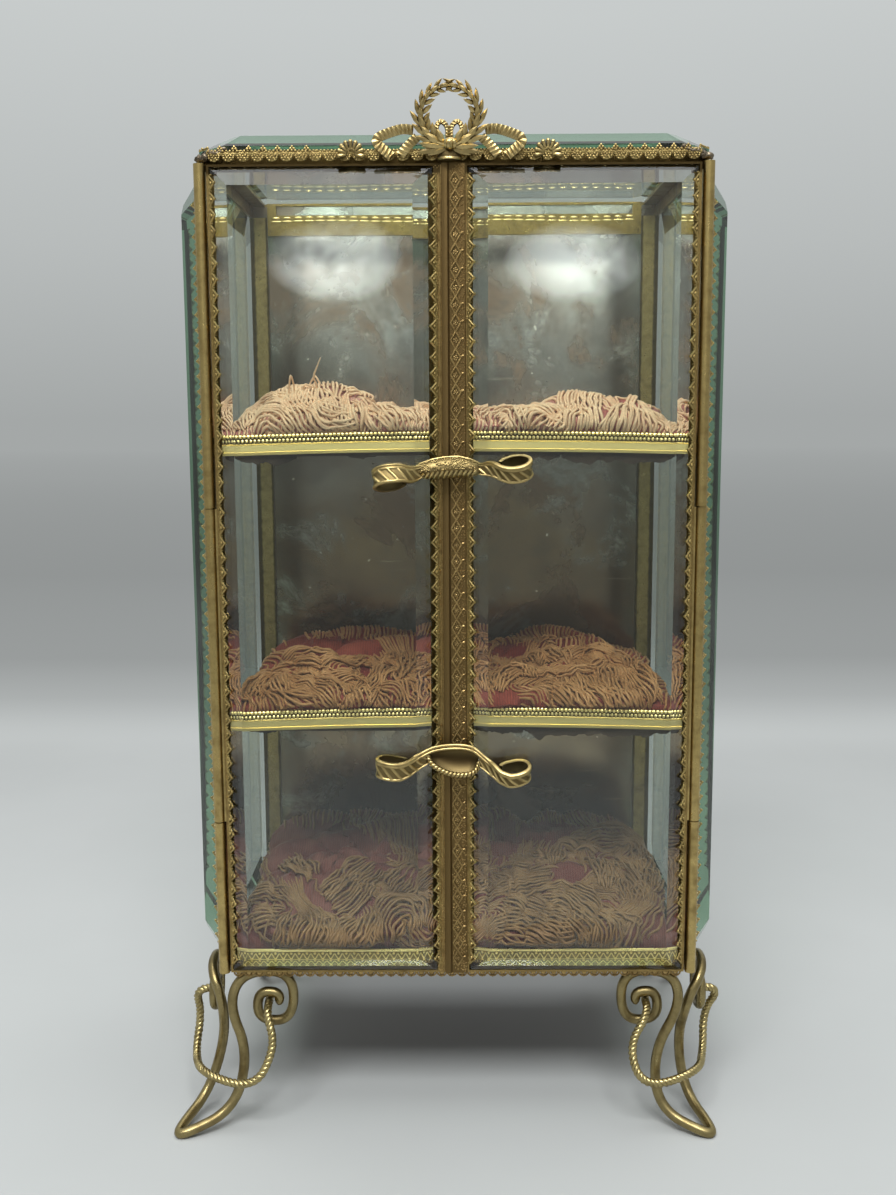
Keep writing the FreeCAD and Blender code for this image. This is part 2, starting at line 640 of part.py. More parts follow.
def mullion_band():
    # The ornamental band on the right meeting stile: raised borders and a sunk middle.
    body = doc.addObject("PartDesign::Body", "mullion_band_blank")
    far = f"({RIGHT_MEET} + Sizes.right_stile - Sizes.trim_gauge)"
    sunk = f"({BAND_FRONT} + Sizes.band_sink)"
    left_rim = f"({RIGHT_MEET} + Sizes.band_edge)"
    right_rim = f"({far} - Sizes.band_edge)"
    points = [
        (RIGHT_MEET, DOOR_FRONT), (far, DOOR_FRONT), (far, BAND_FRONT), (right_rim, BAND_FRONT),
        (right_rim, sunk), (left_rim, sunk), (left_rim, BAND_FRONT), (RIGHT_MEET, BAND_FRONT),
    ]
    section = outline(body, "mullion_band_section", "XY_Plane", points, DOOR_LOW)
    pad(body, "mullion_band_length", section, f"{DOOR_HIGH} - {DOOR_LOW}")
    keep(cut("mullion_band", body, spindle_holes("mullion_band")), "mullion_band")


def clasp_path():
    # One arm of the bow, seen from above: forward off the band, along, then curled back in a loop.
    far = num("Sizes.clasp_half - Sizes.ribbon / 2")
    near = far - num("Sizes.loop_width")
    rear = num(f"{DOOR_FRONT} - Sizes.glass_rise - Sizes.running_gap - Sizes.ribbon / 2")
    front = rear - num("Sizes.loop_depth")
    middle = num(f"{BAND_FRONT} - Sizes.running_gap - Sizes.ribbon / 2")
    step = 2 * num("Sizes.spindle_radius")
    arm = [V(step, middle, 0), V(near, front, 0), V(far, front, 0), V(far, rear, 0), V(near, rear, 0),
           V(near, rear - num("Sizes.loop_depth") * 0.5, 0)]
    left = [V(-point.x, point.y, 0) for point in reversed(arm)]
    return rounded_path(left + arm)


def clasp_bow(label, height, tilt):
    # A ribbon on edge, waisted in the middle, with a hole for its spindle and a flat for the rivet
    # head. Each was riveted on at a slightly different tilt.
    path = clasp_path()
    tall = num("Sizes.clasp_height")
    start = path.Edges[0].valueAt(path.Edges[0].FirstParameter)
    along = path.Edges[0].tangentAt(path.Edges[0].FirstParameter)
    across = along.cross(V(0, 0, 1)) * (num("Sizes.ribbon") / 2)
    up = V(0, 0, tall / 2)
    turns = [start - across - up, start + across - up, start + across + up, start - across + up]
    section = Part.makePolygon(turns + [turns[0]])
    ribbon = path.makePipeShell([section], True, False)
    waist = num("Sizes.clasp_waist") / 2
    reach = num("Sizes.clasp_half") + 1
    flare = num("Sizes.clasp_half - Sizes.loop_width")
    profile = [V(-reach, 0, tall / 2), V(-flare, 0, tall / 2), V(0, 0, waist), V(flare, 0, tall / 2),
               V(reach, 0, tall / 2), V(reach, 0, -tall / 2), V(flare, 0, -tall / 2), V(0, 0, -waist),
               V(-flare, 0, -tall / 2), V(-reach, 0, -tall / 2)]
    depth = num("Sizes.case_depth")
    outline_block = Part.Face(Part.makePolygon(profile + [profile[0]])).extrude(V(0, -depth, 0))
    bow = ribbon.common(outline_block).Solids[0]
    drill = Part.makeCylinder(num("Sizes.spindle_radius"), depth, V(0, 0, 0), V(0, -1, 0))
    seat = num(f"{BAND_FRONT} - Sizes.running_gap - Sizes.ribbon")
    spot = Part.makeCylinder(num("Sizes.rivet_radius"), depth, V(0, seat, 0), V(0, -1, 0))
    item = shaped(label, bow.cut([drill, spot]).Solids[0])
    turned = FreeCAD.Rotation(V(0, -1, 0), num(tilt))
    item.Placement = FreeCAD.Placement(V(num(SPINDLE_X), 0, num(height)), turned)
    keep(item, label)


def clasp(prefix):
    height = f"({CASE_Z} + Sizes.{prefix}_clasp)"
    clasp_bow(f"{prefix}_clasp_bow", height, f"Sizes.{prefix}_tilt")
    tongue_front = f"({DOOR_BACK} + Sizes.running_gap)"
    tongue_back = f"({tongue_front} + Sizes.strip)"
    face = f"({BAND_FRONT} - Sizes.running_gap - Sizes.ribbon)"
    shaft = forward_cylinder(f"{prefix}_clasp_shaft", "Sizes.spindle_radius", SPINDLE_X, tongue_back,
                             face, height)
    rear_rivet = forward_cylinder(f"{prefix}_clasp_rear_rivet", "Sizes.rivet_radius", SPINDLE_X,
                                  f"{tongue_back} + Sizes.rivet_depth", tongue_back, height)
    front_rivet = forward_cylinder(f"{prefix}_clasp_front_rivet", "Sizes.rivet_radius", SPINDLE_X, face,
                                   f"{face} - Sizes.rivet_depth", height)
    keep(fuse(f"{prefix}_clasp_spindle", [shaft, rear_rivet, front_rivet]), f"{prefix}_clasp_spindle")
    half = "Sizes.tongue_width / 2"
    blade = box(f"{prefix}_clasp_blade", (f"{SPINDLE_X} - {half}", f"{SPINDLE_X} + {half}"),
                (tongue_front, tongue_back), (f"{height} - Sizes.tongue_length", f"{height} + {half}"))
    hole = forward_cylinder(f"{prefix}_clasp_blade_hole", "Sizes.spindle_radius", SPINDLE_X,
                            f"{tongue_back} + 1", f"{tongue_front} - 1", height)
    keep(cut(f"{prefix}_clasp_tongue", blade, hole), f"{prefix}_clasp_tongue")


def swapped(points):
    return [V(point.y, point.x, point.z) for point in points]


def at_corner(points, side_x, side_y):
    # From corner distances (inward along X, inward along Y, up) to the case frame.
    x, y = num(SIDE_X), num(BACK_Y)
    return [V(side_x * (x - point.x), side_y * (y - point.y), point.z) for point in points]


def leaned(points, splay):
    # A foot was bent by hand: below its scrolls it leans along X, by the whole difference at the toe.
    lean = num("Sizes.toe_out") - num(splay)
    top = num("Sizes.foot_height - Sizes.wire_radius")
    return [V(point.x + lean * (1 - point.z / top), point.y, point.z) for point in points]


def scroll(plane):
    # A scroll under an edge of the case, from its inner curl to the run along the edge.
    radius = num("Sizes.wire_radius")
    top = num("Sizes.foot_height") - radius
    near = num("Sizes.scroll_start")
    far = near + num("Sizes.scroll_width")
    low = top - num("Sizes.scroll_drop")
    curl_near = near + num("Sizes.curl_start")
    curl_far = curl_near + num("Sizes.curl_width")
    curl_top = top - num("Sizes.curl_drop")
    return [
        V(curl_far, plane, (curl_top + low + 2 * radius / 3) / 2), V(curl_far, plane, curl_top),
        V(curl_near, plane, curl_top), V(curl_near, plane, low), V(far, plane, low), V(far, plane, top),
        V(near, plane, top),
    ]


def foot(label, side_x, side_y, splay):
    # One bent wire: scroll under the front edge, leg, toe, leg, scroll beside the side edge.
    radius = num("Sizes.wire_radius")
    top = num("Sizes.foot_height") - radius
    out = num("Sizes.toe_out")
    skew = num("Sizes.toe_width") / math.sqrt(8)
    ground = radius - num("Sizes.toe_flat")
    swing, lean = num("Sizes.knee_swing"), num("Sizes.leg_lean")
    leg = [
        V(0.07 * swing, -0.24 * lean, 0.81 * top), V(swing, -0.28 * lean, 0.475 * top),
        V(0.55 * swing, -lean, 0.126 * top), V(skew - out, -skew - out, ground),
    ]
    legs = leaned(leg + list(reversed(swapped(leg))), splay)
    front, side = scroll(num("Sizes.wire_plane")), swapped(scroll(-num("Sizes.side_scroll_out")))
    path = rounded_path(at_corner(front + legs + list(reversed(side)), side_x, side_y))
    wire = round_sweep(path, radius)
    reach, below = 4 * out, 2 * radius
    floor = Part.makeBox(2 * num(HINGE_X) + reach, num("Sizes.case_depth") + reach, below,
                         V(-num(HINGE_X) - reach / 2, num(FRONT_Y) - reach / 2, -below))
    keep(shaped(label, wire.cut(floor).Solids[0]), label)


def twist_ring(label, side_x, side_y, splay):
    # The ring of stiff twisted wire that joins the two scrolls and passes outside the legs.
    plane = num("Sizes.wire_plane")
    top = num("Sizes.foot_height") - num("Sizes.wire_radius")
    hold = num("Sizes.scroll_start + Sizes.curl_start + Sizes.curl_width / 2")
    out = num("Sizes.side_scroll_out")
    hook = [V(hold, plane + num("Sizes.hook_reach"), 0.787 * top), V(1.03 * hold, -2.25 * plane, 0.77 * top)]
    side_hook = [point - V(out + plane, 0, 0) for point in swapped(hook)]
    drop = [V(1.32 * hold, -3.42 * plane, 0.567 * top), V(0.87 * hold, -5.75 * plane, 0.327 * top)]
    side_drop = swapped(drop)
    side_drop[0] = side_drop[0] - V(0.65 * out, 0, 0)
    corner = V(-3.2 * plane, -3.2 * plane, 0.381 * top)
    hang = leaned(drop + [corner] + list(reversed(side_drop)), splay)
    path = rounded_path(at_corner(hook + hang + list(reversed(side_hook)), side_x, side_y))
    keep(shaped(label, round_sweep(path, num("Sizes.twist_radius"))), label)


def feet():
    for depth_name, side_y in (("front", -1), ("rear", 1)):
        for side_name, side_x in (("left", -1), ("right", 1)):
            splay = "Sizes.wide_splay" if side_x == side_y else "Sizes.close_splay"
            foot(f"{depth_name}_{side_name}_foot", side_x, side_y, splay)
            twist_ring(f"{depth_name}_{side_name}_twist_ring", side_x, side_y, splay)


def leaf_row(radius, leaf, count):
    # Leaf tips along one edge of the wreath. Both branches start at the bottom and point to the top.
    points = []
    for i in range(count):
        foot_angle = -90 + 180 * i / count
        tip_angle = foot_angle + 150 / count
        for angle, distance in ((foot_angle, radius), (tip_angle, radius + leaf)):
            turn = math.radians(angle)
            points.append(V(distance * math.cos(turn), 0, distance * math.sin(turn)))
    left = [V(-point.x, 0, point.z) for point in reversed(points[1:])]
    return points + [V(0, 0, radius)] + left


def wreath():
    radius, half = num("Sizes.wreath_radius"), num("Sizes.wreath_half")
    leaf = num("Sizes.wreath_leaf")
    outer = leaf_row(radius + half, leaf, 10)
    inner = leaf_row(radius - half, -leaf, 8)
    depth = V(0, -num("Sizes.wreath_depth"), 0)
    disc = Part.Face(Part.makePolygon(outer + [outer[0]])).extrude(depth)
    hole = Part.Face(Part.makePolygon(inner + [inner[0]])).extrude(depth * 3)
    hole.translate(depth * -1)
    item = shaped("crest_wreath", disc.cut(hole).Solids[0])
    front = num(f"{DOOR_FRONT} - Sizes.trim_gauge - Sizes.bow_depth")
    lift = num(f"{TOP_Z} + Sizes.wreath_lift")
    item.Placement = FreeCAD.Placement(V(-num("Sizes.crest_offset"), front, lift), FreeCAD.Rotation())
    keep(item, "crest_wreath")


def ribbon_loop(side):
    # A bow loop as a flat band round an opening.
    reach, rise = num("Sizes.bow_reach"), num("Sizes.bow_rise")
    shares = ((0.41, 0.55), (0.65, 1), (1, 0.67), (0.76, 0.19))
    turns = [V(side * reach * across, 0, rise * up) for across, up in shares]
    middle = sum(turns, V()) * 0.25
    half = num("Sizes.bow_half")
    loops = []
    for grow in (half, -half):
        loops.append([point + (point - middle).normalize() * grow * 1.5 for point in turns])
    depth = V(0, -num("Sizes.bow_depth"), 0)
    outer, inner = [Part.Face(rounded_loop(loop)).extrude(depth) for loop in loops]
    return outer.cut(inner)


def bow():
    half, depth = num("Sizes.knot_half"), num("Sizes.bow_depth")
    knot = Part.makeBox(2 * half, depth, num("Sizes.knot_height"), V(-half, -depth, num("Sizes.knot_lift")))
    whole = knot.fuse([ribbon_loop(-1), ribbon_loop(1)]).removeSplitter()
    item = shaped("crest_bow", whole.Solids[0])
    front = num(f"{DOOR_FRONT} - Sizes.trim_gauge")
    item.Placement = FreeCAD.Placement(V(-num("Sizes.crest_offset"), front, num(TOP_Z)), FreeCAD.Rotation())
    keep(item, "crest_bow")


def shell(label, side):
    # A five-lobed fan standing on a short stem.
    radius = num("Sizes.shell_radius")
    stem = 0.35 * radius
    edges = []
    tips = []
    for i in range(6):
        turn = math.radians(-5 + 38 * i)
        tips.append(V(0.8 * radius * math.cos(turn), 0, 0.8 * radius * math.sin(turn)))
    for i in range(5):
        turn = math.radians(14 + 38 * i)
        crown = V(radius * math.cos(turn), 0, radius * math.sin(turn))
        edges.append(Part.Arc(tips[i], crown, tips[i + 1]).toShape())
    foot_left, foot_right = V(-stem, 0, -0.9 * radius), V(stem, 0, -0.9 * radius)
    for start, end in ((tips[5], foot_left), (foot_left, foot_right), (foot_right, tips[0])):
        edges.append(Part.LineSegment(start, end).toShape())
    fan = Part.Face(Part.Wire(edges)).extrude(V(0, -num("Sizes.bow_depth"), 0))
    item = shaped(label, fan)
    front = num(f"{DOOR_FRONT} - Sizes.trim_gauge")
    lift = num(f"{TOP_Z} + Sizes.shell_radius + 0.5")
    across = side * num("Sizes.shell_out") - num("Sizes.crest_offset")
    item.Placement = FreeCAD.Placement(V(across, front, lift), FreeCAD.Rotation())
    keep(item, label)


def build():
    frames()
    sill()
    front_post("front_left_post", -1)
    front_post("front_right_post", 1)
    rear_post("rear_left_post", -1)
    rear_post("rear_right_post", 1)
    back_panel()
    base_board()
    shelf("lower", "Sizes.lower_shelf")
    shelf("upper", "Sizes.upper_shelf")
    cushions()
    case_glass()
    galleries()
    hinges()
    doors()
    mullion_band()
    clasp("upper")
    clasp("lower")
    feet()
    wreath()
    bow()
    shell("crest_left_shell", -1)
    shell("crest_right_shell", 1)
    doc.recompute()


def write():
    for item in doc.Objects:
        if "Invalid" in item.State or "Error" in item.State:
            raise RuntimeError(f"{item.Label} did not build")
    os.makedirs("parts", exist_ok=True)
    for item in subparts:
        if item.Shape.isNull() or not item.Shape.isValid() or not item.Shape.Solids:
            raise RuntimeError(f"{item.Label} is not a sound solid")
        item.Shape.exportStep(f"parts/{item.Label}.step")
    print(len(subparts), "sub-parts written")


build()
write()
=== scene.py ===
# %% [markdown]
# # A glass jewelry casket
# The casket is a small display cabinet of gilt brass strip and thick bevelled glass. Its doors open on
# three compartments lined with old, frayed silk. The solids of the frame, glass and hinges are loaded
# first and stay where they are. This lesson gives each of them a finish, and builds the stamped, cast
# and woven pieces around them. Lengths in the code are millimetres until a mesh is made. Only the
# floor and the lamps are given in metres.

# %% the frame
import json
import math
import random

import bmesh
import bpy
import numpy as np
from mathutils import Matrix, Vector, noise


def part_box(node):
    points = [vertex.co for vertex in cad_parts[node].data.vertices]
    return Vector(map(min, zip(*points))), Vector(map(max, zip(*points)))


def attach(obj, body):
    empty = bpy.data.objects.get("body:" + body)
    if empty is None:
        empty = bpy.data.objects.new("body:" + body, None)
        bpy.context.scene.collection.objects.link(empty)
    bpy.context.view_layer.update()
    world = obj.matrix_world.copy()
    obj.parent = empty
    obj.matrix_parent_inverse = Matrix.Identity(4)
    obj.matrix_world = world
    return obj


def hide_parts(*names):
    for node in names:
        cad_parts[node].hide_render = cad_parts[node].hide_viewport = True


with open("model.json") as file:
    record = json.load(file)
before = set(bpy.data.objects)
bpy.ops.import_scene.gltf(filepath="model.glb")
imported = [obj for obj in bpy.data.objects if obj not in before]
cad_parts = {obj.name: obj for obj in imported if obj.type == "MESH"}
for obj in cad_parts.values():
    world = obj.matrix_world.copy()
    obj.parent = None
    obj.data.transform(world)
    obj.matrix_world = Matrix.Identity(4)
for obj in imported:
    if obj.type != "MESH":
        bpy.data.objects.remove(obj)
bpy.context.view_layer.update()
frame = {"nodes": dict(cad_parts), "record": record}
nodes = frame["nodes"]
MM = 0.001


def span(node):
    """Lowest and highest corner of a solid, in millimetres."""
    low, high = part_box(node)
    return np.array(low) / MM, np.array(high) / MM


# %% [markdown]
# ## The camera
# The photograph was taken from close in front, a little above the middle, so the verticals lean in
# towards the feet. A real lens and a real distance give that perspective, and no shift is needed.
# The turn is written as three angles, and the camera's axes are worked out from them.

# %% camera
PHOTO_WIDE, PHOTO_HIGH, FOCAL = 896, 1195, 1250        # pixels
EYE = (0.2, -397.2, 210.0)
PITCH, YAW, ROLL = (math.radians(angle) for angle in (8.235, -0.383, -0.284))


def put_in_scene(name, data):
    item = bpy.data.objects.new(name, data)
    bpy.context.scene.collection.objects.link(item)
    return item


def camera_turn(pitch, yaw, roll):
    ahead = Vector((math.sin(yaw) * math.cos(pitch), math.cos(yaw) * math.cos(pitch), -math.sin(pitch)))
    right = Vector((math.cos(yaw), -math.sin(yaw), 0))
    up = right.cross(ahead)
    right, up = right * math.cos(roll) + up * math.sin(roll), up * math.cos(roll) - right * math.sin(roll)
    return Matrix((right, up, -ahead)).transposed().to_4x4()


lens = bpy.data.cameras.new("camera")
lens.sensor_fit = "HORIZONTAL"
lens.sensor_width = 36
lens.lens = lens.sensor_width * FOCAL / PHOTO_WIDE
lens.clip_start = 0.01
camera = put_in_scene("camera", lens)
camera.matrix_world = Matrix.Translation(Vector(EYE) * MM) @ camera_turn(PITCH, YAW, ROLL)
bpy.context.scene.camera = camera
print(f"lens {lens.lens:.1f} mm, {abs(EYE[1]):.0f} mm in front of the middle")

# %% [markdown]
# ## Node helpers
# Every finish below is a small network of nodes. A few helpers keep those networks readable: one adds
# a node with its settings, one starts a material around a Principled shader, and the others make ramps,
# mixes, sums, noise and bumps. A network is then a list of nodes and the links between them.

# %% node helpers


def add(tree, kind, values=None, **settings):
    """A new node. Settings are its properties, values its unlinked inputs, by name or number."""
    node = tree.nodes.new(kind)
    for key, value in settings.items():
        setattr(node, key, value)
    for key, value in (values or {}).items():
        node.inputs[key].default_value = value
    return node


def new_material(name, **values):
    """A material with one Principled shader. Returns the material, its tree and the shader."""
    material = bpy.data.materials.new(name)
    material.use_nodes = True
    tree = material.node_tree
    shader = tree.nodes["Principled BSDF"]
    for key, value in values.items():
        shader.inputs[key.replace("_", " ")].default_value = value
    return material, tree, shader


def ramp(tree, source, *stops):
    """A colour ramp from (place, grey or colour) stops."""
    node = add(tree, "ShaderNodeValToRGB")
    elements = node.color_ramp.elements
    while len(elements) < len(stops):
        elements.new(0.5)
    for element, (place, shade) in zip(elements, stops):
        element.position = place
        element.color = (*shade, 1) if isinstance(shade, tuple) else (shade, shade, shade, 1)
    tree.links.new(source, node.inputs["Fac"])
    return node.outputs["Color"]


def feed(tree, entry, value):
    """Link an input to a socket, or set it to a plain number or colour."""
    if isinstance(value, bpy.types.NodeSocket):
        tree.links.new(value, entry)
    else:
        entry.default_value = (*value, 1) if isinstance(value, tuple) else value


print("nodes, materials and ramps can be made")

# %% mixes, sums, noise and bumps


def mix(tree, factor, first, second, blend="MIX"):
    """A colour mix. First and second are sockets or plain colours."""
    node = add(tree, "ShaderNodeMix", data_type="RGBA", blend_type=blend)
    for place, value in ((0, factor), (6, first), (7, second)):
        feed(tree, node.inputs[place], value)
    return node.outputs[2]


def math_node(tree, operation, first, second=0.0, third=0.0):
    node = add(tree, "ShaderNodeMath", operation=operation)
    for place, value in enumerate((first, second, third)):
        feed(tree, node.inputs[place], value)
    return node.outputs[0]


def own_place(tree):
    """The object's own coordinates."""
    return add(tree, "ShaderNodeTexCoord").outputs["Object"]


def cloud(tree, scale, detail=4.0, rough=0.55, place=None, distortion=0.0):
    """Noise in the object's own coordinates, with scale in waves per metre."""
    node = add(tree, "ShaderNodeTexNoise", {"Scale": scale, "Detail": detail, "Roughness": rough,
                                            "Distortion": distortion})
    if place is None:
        place = own_place(tree)
    tree.links.new(place, node.inputs["Vector"])
    return node.outputs["Fac"]


def paint(tree, shader, colour, rough):
    tree.links.new(colour, shader.inputs["Base Color"])
    tree.links.new(rough, shader.inputs["Roughness"])


def bump(tree, shader, height, strength, distance):
    node = add(tree, "ShaderNodeBump", {"Strength": strength, "Distance": distance})
    tree.links.new(height, node.inputs["Height"])
    tree.links.new(node.outputs["Normal"], shader.inputs["Normal"])


print("node helpers are ready")

# %% [markdown]
# ## Floor, backdrop and light
# The casket stands on a pale sweep that runs back into a darker grey. One large floor does both: near
# the casket it is a matt surface that takes the shadow, and further off it turns into the grey of the
# sweep by its distance. Above the horizon the world goes on in the same grey and lightens upward.
# Metal and glass see that grey too, through the glossy and transmission rays, and behind the camera
# two small windows, which light up two patches of the old mirror. The light is one wide soft lamp
# overhead and a smaller one in front.

# %% floor
FLOOR_PALE, FLOOR_EDGE, FLOOR_FADE = 0.55, (0.335, 0.47), 8.0
GREY_TINT = (0.955, 1.0, 0.995)


def seen_rays(tree):
    """1 for rays that show a surface directly: from the camera, off metal or through glass."""
    path = add(tree, "ShaderNodeLightPath")
    seen = math_node(tree, "MAXIMUM", path.outputs["Is Camera Ray"], path.outputs["Is Glossy Ray"])
    return math_node(tree, "MAXIMUM", seen, path.outputs["Is Transmission Ray"])


def floor_finish():
    material, tree, shader = new_material("pale_floor", Roughness=0.9, Specular_IOR_Level=0.0)
    point = add(tree, "ShaderNodeSeparateXYZ")
    tree.links.new(add(tree, "ShaderNodeNewGeometry").outputs["Position"], point.inputs[0])
    across = math_node(tree, "MULTIPLY", math_node(tree, "ABSOLUTE", point.outputs["X"]), 0.5)
    away = math_node(tree, "MAXIMUM", across, math_node(tree, "ABSOLUTE", point.outputs["Y"]))
    paper = ramp(tree, cloud(tree, 7.0), (0.3, 0.95), (0.7, 1.0))
    pale = tuple(FLOOR_PALE * tint for tint in GREY_TINT)
    tree.links.new(mix(tree, 1.0, paper, pale, "MULTIPLY"), shader.inputs["Base Color"])
    far = math_node(tree, "DIVIDE", away, FLOOR_FADE)
    sweep = ramp(tree, far, (0.05, 0.60), (0.066, 0.43), (0.085, 0.335), (0.16, 0.30), (0.5, 0.35),
                 (1.0, 0.39))
    glow = add(tree, "ShaderNodeEmission")
    tree.links.new(mix(tree, 1.0, sweep, GREY_TINT, "MULTIPLY"), glow.inputs["Color"])
    edge = add(tree, "ShaderNodeMapRange", {1: FLOOR_EDGE[0], 2: FLOOR_EDGE[1]},
               interpolation_type="SMOOTHSTEP")
    tree.links.new(away, edge.inputs[0])
    blend = add(tree, "ShaderNodeMixShader")
    tree.links.new(math_node(tree, "MULTIPLY", edge.outputs[0], seen_rays(tree)), blend.inputs[0])
    tree.links.new(shader.outputs[0], blend.inputs[1])
    tree.links.new(glow.outputs[0], blend.inputs[2])
    tree.links.new(blend.outputs[0], tree.nodes["Material Output"].inputs["Surface"])
    return material


FLOOR_REACH = 9.0
corners = [(x * FLOOR_REACH, y * FLOOR_REACH, 0) for x, y in ((-1, -1), (1, -1), (1, 1), (-1, 1))]
floor_mesh = bpy.data.meshes.new("floor")
floor_mesh.from_pydata(corners, [], [(0, 1, 2, 3)])
floor = put_in_scene("floor", floor_mesh)
floor_mesh.materials.append(floor_finish())
print(f"floor reaches {FLOOR_REACH:.0f} m to each side")

# %% grey world
world = bpy.data.worlds.new("grey_world")
bpy.context.scene.world = world
world.use_nodes = True
sky = world.node_tree
ahead = add(sky, "ShaderNodeSeparateXYZ")
direction = add(sky, "ShaderNodeTexCoord").outputs["Generated"]
sky.links.new(direction, ahead.inputs[0])
lift = ramp(sky, ahead.outputs["Z"], (0.0, 0.39), (0.127, 0.50), (0.285, 0.60), (0.6, 0.66))
forward = math_node(sky, "MULTIPLY", ahead.outputs["Y"], -1.0)
facing = ramp(sky, forward, (0.55, 0.0), (0.95, 1.0))
broken = ramp(sky, cloud(sky, 22.0, 3.0, 0.6, direction), (0.34, 0.2), (0.56, 1.0))
WINDOWS = ((-0.094, 0.121), (0.093, 0.119))         # slopes sideways and upward from the casket
WINDOW_REACH, WINDOW_GLOW = (0.056, 0.034), 7.5
for window in WINDOWS:
    away = 0.0
    for axis, middle, reach in zip("XZ", window, WINDOW_REACH):
        slope = math_node(sky, "DIVIDE", ahead.outputs[axis], forward)
        part = math_node(sky, "DIVIDE", math_node(sky, "SUBTRACT", slope, middle), reach)
        away = math_node(sky, "ADD", math_node(sky, "MULTIPLY", part, part), away)
    pane = math_node(sky, "MULTIPLY", ramp(sky, away, (0.0, 1.0), (0.4, 0.6), (1.0, 0.0)), facing)
    pane = math_node(sky, "MULTIPLY", pane, broken)
    lift = math_node(sky, "MULTIPLY_ADD", pane, WINDOW_GLOW, lift)
shown = mix(sky, 1.0, lift, GREY_TINT, "MULTIPLY")
SKY_FILL = 0.27
sky_colour = mix(sky, seen_rays(sky), (SKY_FILL, SKY_FILL, SKY_FILL), shown)
sky.links.new(sky_colour, sky.nodes["Background"].inputs["Color"])
print(f"{len(WINDOWS)} windows in the grey world")

# %% lamps


def soft_lamp(name, place, aim, size, glow):
    """A rectangular soft lamp. Glow is the brightness of its face."""
    data = bpy.data.lights.new(name, "AREA")
    data.shape = "RECTANGLE"
    data.size, data.size_y = size
    data.energy = glow * math.pi * size[0] * size[1]
    lamp = put_in_scene(name, data)
    lamp.location = place
    lamp.rotation_euler = (Vector(aim) - Vector(place)).to_track_quat("-Z", "Y").to_euler()


soft_lamp("overhead_lamp", (0.0, 0.05, 1.25), (0, 0, 0), (1.2, 1.0), 2.3)
soft_lamp("front_lamp", (-0.08, -0.8, 1.12), (0, 0, 0.15), (0.8, 0.4), 14.0)
print("two soft lamps are lit")

# %% [markdown]
# ## Aged gilding
# All the metal is thin brass that was gilded and has dulled for a century: bright where fingers and
# cloths rubbed it, brown in every recess. Painting that by hand would take a texture for each strip.
# A node group does it for all of them. It mixes a bright and a dark metal by a soft cloud, a fine
# fleck and the occlusion in the recesses, and puts out a colour, a roughness and a fine height. A
# casting can also store how dark each of its points is painted, and the group darkens those points:
# patina in its hollows, and painted shade in the collar's cup, the scoop's bowl and on the rails' lips.

# %% aged gilding group
METAL_INPUTS = {"Bright": "Color", "Dark": "Color", "Grain": "Float", "Tarnish": "Float", "Recess": "Float",
                "Recess Reach": "Float", "Fleck": "Float"}
METAL_OUTPUTS = {"Colour": "Color", "Roughness": "Float", "Height": "Float"}


def aged_gilding_group():
    group = bpy.data.node_groups.new("aged_gilding", "ShaderNodeTree")
    for way, sockets in (("INPUT", METAL_INPUTS), ("OUTPUT", METAL_OUTPUTS)):
        for name, kind in sockets.items():
            group.interface.new_socket(name, in_out=way, socket_type=f"NodeSocket{kind}")
    given = add(group, "NodeGroupInput").outputs
    place = own_place(group)
    patches = cloud(group, 1.0, 5.0, 0.6, place)
    group.links.new(given["Grain"], patches.node.inputs["Scale"])
    fleck = cloud(group, 2600.0, 3.0, 0.7, place)
    worn = ramp(group, patches, (0.38, 0.0), (0.68, 1.0))
    flecked = ramp(group, fleck, (0.42, 0.0), (0.7, 1.0))
    dulled = math_node(group, "MULTIPLY", worn, given["Tarnish"])
    speckle = math_node(group, "MULTIPLY", flecked, given["Fleck"])
    hollow = add(group, "ShaderNodeAmbientOcclusion", samples=4, only_local=True)
    group.links.new(given["Recess Reach"], hollow.inputs["Distance"])
    shut = ramp(group, hollow.outputs["AO"], (0.25, 1.0), (0.8, 0.0))
    sunk = math_node(group, "MULTIPLY", shut, given["Recess"])
    # the casting's stored darkness: patina in hollows, and painted shade in places
    painted = add(group, "ShaderNodeAttribute", attribute_name="hollow").outputs["Fac"]
    sunk = math_node(group, "MAXIMUM", sunk, painted)
    darkening = math_node(group, "MAXIMUM", math_node(group, "MAXIMUM", dulled, speckle), sunk)
    out = add(group, "NodeGroupOutput")
    group.links.new(mix(group, darkening, given["Bright"], given["Dark"]), out.inputs["Colour"])
    group.links.new(math_node(group, "MULTIPLY_ADD", darkening, 0.34, 0.26), out.inputs["Roughness"])
    group.links.new(math_node(group, "ADD", fleck, patches), out.inputs["Height"])
    return group


GILDING = aged_gilding_group()
print(f"{GILDING.name} takes {len(METAL_INPUTS)} values")

# %% the metals


def gilding(name, bright, dark, grain=260.0, tarnish=0.5, recess=0.8, reach=1.1, texture=0.25, fleck=0.3):
    """A metal material that places the aged gilding group with its own values."""
    material, tree, shader = new_material(name, Metallic=1.0)
    aged = add(tree, "ShaderNodeGroup", node_tree=GILDING)
    values = ((*bright, 1), (*dark, 1), grain, tarnish, recess, reach * MM, fleck)
    for key, value in zip(METAL_INPUTS, values):
        aged.inputs[key].default_value = value
    paint(tree, shader, aged.outputs["Colour"], aged.outputs["Roughness"])
    bump(tree, shader, aged.outputs["Height"], texture, 0.1 * MM)
    return material


